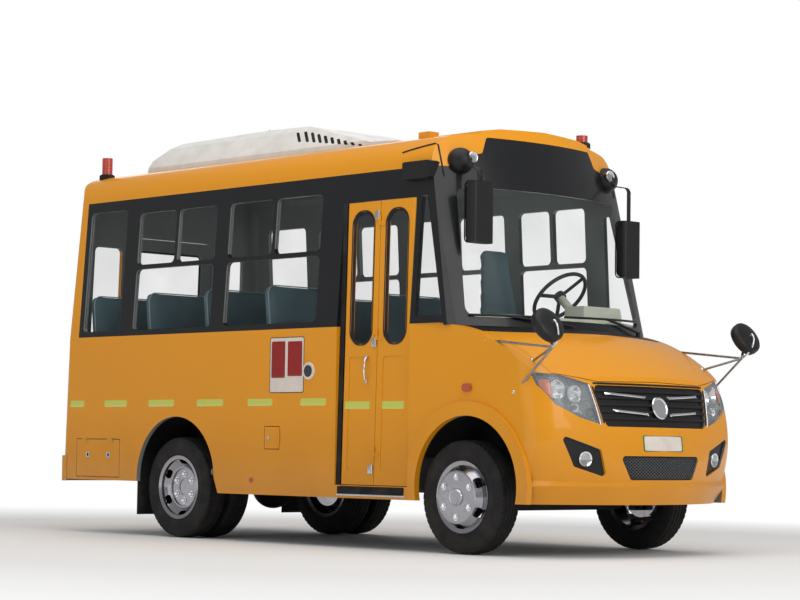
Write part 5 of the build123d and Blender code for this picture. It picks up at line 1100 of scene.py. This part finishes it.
# %% Drip lines and header lamps
HEADER_LAMP_X, HEADER_LAMP_Y, HEADER_LAMP_Z = 1.5745, 0.700, 2.664
drip = skin_line("roof right_window_band windshield_frame", np.linspace(1.10, 1.47, 14),
                 np.linspace(-0.905, -0.868, 14), 0.003, axis=2)
pair("drip_line", tube(drip, 0.006, 8), black_rubber, "rubber_black")
header_ring = turning(mm("30,0 41,0 41,6 36,11 30,8"), 32)
for side, word in SIDES:
    at = (HEADER_LAMP_X, side * HEADER_LAMP_Y, HEADER_LAMP_Z)
    piece(f"header_lamp_ring_{word}", moved(header_ring, at, (0, 1, 0), (1, 0, 0)), bright_trim, "bus",
          "chrome_rim", smooth=50)

# %% [markdown]
# Seats are foam under cloth. Each cushion starts as a slab a little too small, is turned into an even net of
# small faces, and is then blown up as cloth for twenty frames. Its points may move only so far, so it stays
# in the room that the frame leaves. One cushion is blown up and then copied along the rows.

# %% Blowing up the cushions
EASE = 0.014                        # how much smaller than its room a slab starts, and how far it may swell
FRAMES = 20


def coordinates(mesh):
    found = np.empty(len(mesh.vertices) * 3)
    mesh.vertices.foreach_get("co", found)
    return found.reshape(-1, 3)


def puffed(shape, voxel=0.014, pressure=4.0, swell=EASE):
    """Returns a cloth-simulated copy of a closed shape: point = start + shift * min(1, swell / |shift|)."""
    mesh = bpy.data.meshes.new("foam")
    mesh.from_pydata(shape[0].tolist(), [], shape[1])
    foam = bpy.data.objects.new("foam", mesh)
    bpy.context.scene.collection.objects.link(foam)
    net = foam.modifiers.new("net", "REMESH")
    net.mode, net.voxel_size = "VOXEL", voxel
    fine = bpy.data.meshes.new_from_object(foam.evaluated_get(bpy.context.evaluated_depsgraph_get()))
    foam.modifiers.clear()
    foam.data = fine
    start = end = coordinates(fine)
    faces = [list(polygon.vertices) for polygon in fine.polygons]
    cloth = foam.modifiers.new("cloth", "CLOTH")
    cloth.settings.use_pressure = True
    cloth.settings.uniform_pressure_force = pressure
    cloth.settings.effector_weights.gravity = 0.0
    for step in range(1, FRAMES + 1):
        bpy.context.scene.frame_set(step)
    end = coordinates(foam.evaluated_get(bpy.context.evaluated_depsgraph_get()).data)
    bpy.context.scene.frame_set(1)
    shift = end - start
    reach = np.maximum(np.linalg.norm(shift, axis=1), 1e-9)[:, None]
    bpy.data.objects.remove(foam)
    return start + shift * np.minimum(1.0, swell / reach), faces


def waisted(shape, width, height, pull=0.012):
    """Draws the sides in between the corners by pull * (1 - (2 b / height)^2), and the same the other way."""
    points = shape[0].copy()
    points[:, 0] -= np.sign(points[:, 0]) * pull * (1 - (2 * points[:, 1] / height) ** 2)
    points[:, 1] -= np.sign(points[:, 1]) * pull * (1 - (2 * points[:, 0] / width) ** 2)
    return points, shape[1]


def stuffed(length, width, depth, radius, edge, pull=0.012, neck=0.0):
    """A blown-up slab with drawn-in sides, narrowed towards its far end by the share neck (3 t^2 - 2 t^3)."""
    points, faces = cushioned(length - 2 * EASE, width - 2 * EASE, depth, radius, edge)
    t = np.clip((points[:, 0] - 0.02) / 0.26, 0, 1)
    points[:, 1] *= 1 - neck * t ** 2 * (3 - 2 * t)
    return puffed(waisted((points, faces), length, width, pull))


def cloth_finish(name, colour, thread):
    """Woven seat cloth: two sets of threads cross, and each is lifted where it passes over the other."""
    f = Finish(name, Roughness=0.88, Specular_IOR_Level=0.2)
    x, y, z = f.axes()
    weave = ((x + z) * 900.0).sine() * (y * 900.0).sine()
    worn = f.ramp(f.noise(6.0, 4.0), 0.35, 0.75, 0.0, 0.35)
    base = f.mix(f.ramp(weave, -0.4, 0.6), colour, thread)
    f.set("Base Color", f.mix(worn, base, dim(colour, 0.7)))
    f.set("Roughness", f.ramp(weave, -1.0, 1.0, 0.82, 0.94))
    f.bump(weave, 0.0006, 0.5)
    return f.material


bench_cloth = cloth_finish("bench_cloth", linear(74, 96, 104), linear(104, 128, 136))
piping_cloth = cloth_finish("piping_cloth", linear(132, 150, 156), linear(160, 176, 180))

# %% Benches and the driver's seat
BENCH_X = (-2.420, -1.710, -1.000, -0.290)
BENCH_LOW, BENCH_HIGH = 0.190, 0.930
BENCH_W, BENCH_MID = BENCH_HIGH - BENCH_LOW, (BENCH_LOW + BENCH_HIGH) / 2
SEAT_TOP, CUSHION_T, CUSHION_L = 1.180, 0.110, 0.410
BACK_H, BACK_T, BACK_MID = 0.705, 0.078, SEAT_TOP + 0.358
BACK_UP, BACK_OUT = (-0.1085, 0.0, 0.994), (0.994, 0.0, 0.1085)
ROPE_INSET, ROPE_R = 0.050, 0.0045
seat_foam = stuffed(CUSHION_L, BENCH_W, CUSHION_T - EASE - 0.002, 0.045, 0.030)
back_foam = stuffed(BACK_H, BENCH_W, BACK_T - 2 * EASE, 0.075, 0.022, pull=0.008)
loop = rounded_outline(BACK_H - ROPE_INSET, BENCH_W - ROPE_INSET, 0.070, 8)
loop = np.vstack((loop, loop[:1]))
rope = tube(np.column_stack((loop, np.full(len(loop), 0.012))), ROPE_R, 8)
cushions, backs, piping = [], [], []
for x in BENCH_X:
    for y in (-BENCH_MID, BENCH_MID):
        cushions.append(shifted(seat_foam, x + 0.295, y, SEAT_TOP + 0.002))
        backs.append(moved(back_foam, (x - 0.025, y, BACK_MID), BACK_UP, BACK_OUT))
        piping.append(moved(rope, (x + 0.012, y, BACK_MID), BACK_UP, BACK_OUT))
piece("bench_piping", join(*piping), piping_cloth, "bus", "seat_cloth", smooth=80)
DRIVER_X, DRIVER_Y = 0.760, 0.420
DRIVER_UP, DRIVER_OUT = (-0.1323, 0.0, 0.9912), (0.9912, 0.0, 0.1323)
driver_foam = shifted(stuffed(0.460, 0.480, 0.110 - EASE, 0.060, 0.030), DRIVER_X + 0.230, DRIVER_Y, 1.332)
driver_back = moved(stuffed(0.745, 0.450, 0.080 - 2 * EASE, 0.085, 0.022, neck=0.34),
                    (DRIVER_X - 0.048, DRIVER_Y, 1.815), DRIVER_UP, DRIVER_OUT)
SOFT = (                            # piece, shapes, node that they replace
    ("bench_cushions", cushions, "seat_cushions"), ("bench_backs", backs, "seat_backs"),
    ("driver_cushions", (driver_foam, driver_back), "driver_seat"),
)
for name, shapes, node in SOFT:
    made = piece(name, join(*shapes), bench_cloth, "bus", "seat_cloth", [node], smooth=80)

# %% [markdown]
# Soft boxes overhead and ahead light the nose more than the side, as an overcast sky does.
# The floor is lit near the bus, where it keeps the shadow under the bus, and fades into glowing white further
# out.

# %% Studio
STAGE_HALF, SHADOW_X, SHADOW_Y = 60.0, 7.0, 5.5
SKY_LIGHT = 0.37                    # what the surroundings give to surfaces; the camera sees them as white
AREA_LIGHTS = (                     # name, place, target, width, power, colour
    ("sky_panel", (2.0, -2.0, 9.0), (0, 0, 0.5), 10.0, 500.0, (1.0, 0.99, 0.97)),
    ("nose_panel", (11.0, -1.0, 5.0), (1.5, 0, 1.2), 6.0, 330.0, (1.0, 0.98, 0.95)),
    ("side_panel", (1.0, -12.0, 3.5), (0, 0, 1.2), 7.0, 105.0, (0.96, 0.98, 1.0)),
    ("back_panel", (-11.0, 6.0, 5.0), (-1, 0, 1.2), 7.0, 250.0, (1.0, 1.0, 1.0)),
)
for name, at, target, width, power, colour in AREA_LIGHTS:
    lamp = bpy.data.lights.new(name, "AREA")
    lamp.size, lamp.energy, lamp.color = width, power, colour
    holder = bpy.data.objects.new(name, lamp)
    bpy.context.scene.collection.objects.link(holder)
    back = np.array(at, float) - np.array(target, float)
    back /= np.linalg.norm(back)
    across = np.cross((0, 0, 1.0), back)
    across /= np.linalg.norm(across)
    turn = np.eye(4)
    turn[:3, 0], turn[:3, 1], turn[:3, 2], turn[:3, 3] = across, np.cross(back, across), back, at
    holder.matrix_world = Matrix(turn.tolist())
world = bpy.data.worlds.new("studio_world")
bpy.context.scene.world = world
world.use_nodes = True
sky = world.node_tree
sky.nodes.clear()
ray, seen, level, glow, end = (sky.nodes.new("ShaderNode" + kind) for kind in
                               ("LightPath", "Math", "MapRange", "Background", "OutputWorld"))
seen.operation = "MAXIMUM"
level.inputs["To Min"].default_value, level.inputs["To Max"].default_value = SKY_LIGHT, 1.0
glow.inputs["Color"].default_value = (1.0, 1.0, 1.0, 1.0)
for output, place in ((ray.outputs["Is Camera Ray"], seen.inputs[0]),
                      (ray.outputs["Is Transmission Ray"], seen.inputs[1]),
                      (seen.outputs[0], level.inputs["Value"]),
                      (level.outputs[0], glow.inputs["Strength"]),
                      (glow.outputs[0], end.inputs[0])):
    sky.links.new(output, place)

# %% Floor
floor_finish = Finish("studio_floor", Base_Color=linear(236, 236, 236), Roughness=0.9)
x, y, z = floor_finish.axes()
fade = floor_finish.ramp(((x / SHADOW_X) ** 2 + (y / SHADOW_Y) ** 2) ** 0.5, 0.75, 1.35)
white = floor_finish.node("Emission", inputs={"Color": (1, 1, 1, 1), "Strength": 1.0})
lit = Wire(floor_finish.tree, floor_finish.shader.outputs[0])
blend = floor_finish.node("MixShader", inputs={0: fade, 1: lit, 2: white})
connect(floor_finish.tree, blend, floor_finish.output.inputs[0])
ground = bpy.data.meshes.new("studio_floor")
corners = [(a * STAGE_HALF, b * STAGE_HALF, 0) for a, b in ((-1, -1), (1, -1), (1, 1), (-1, 1))]
ground.from_pydata(corners, [], [(0, 1, 2, 3)])
ground.materials.append(floor_finish.material)
floor_object = bpy.data.objects.new("studio_floor", ground)
bpy.context.scene.collection.objects.link(floor_object)
floor_object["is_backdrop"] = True

# %% Sizes, and the end
low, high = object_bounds()
print("box", [round(high[i] - low[i], 3) for i in range(3)])
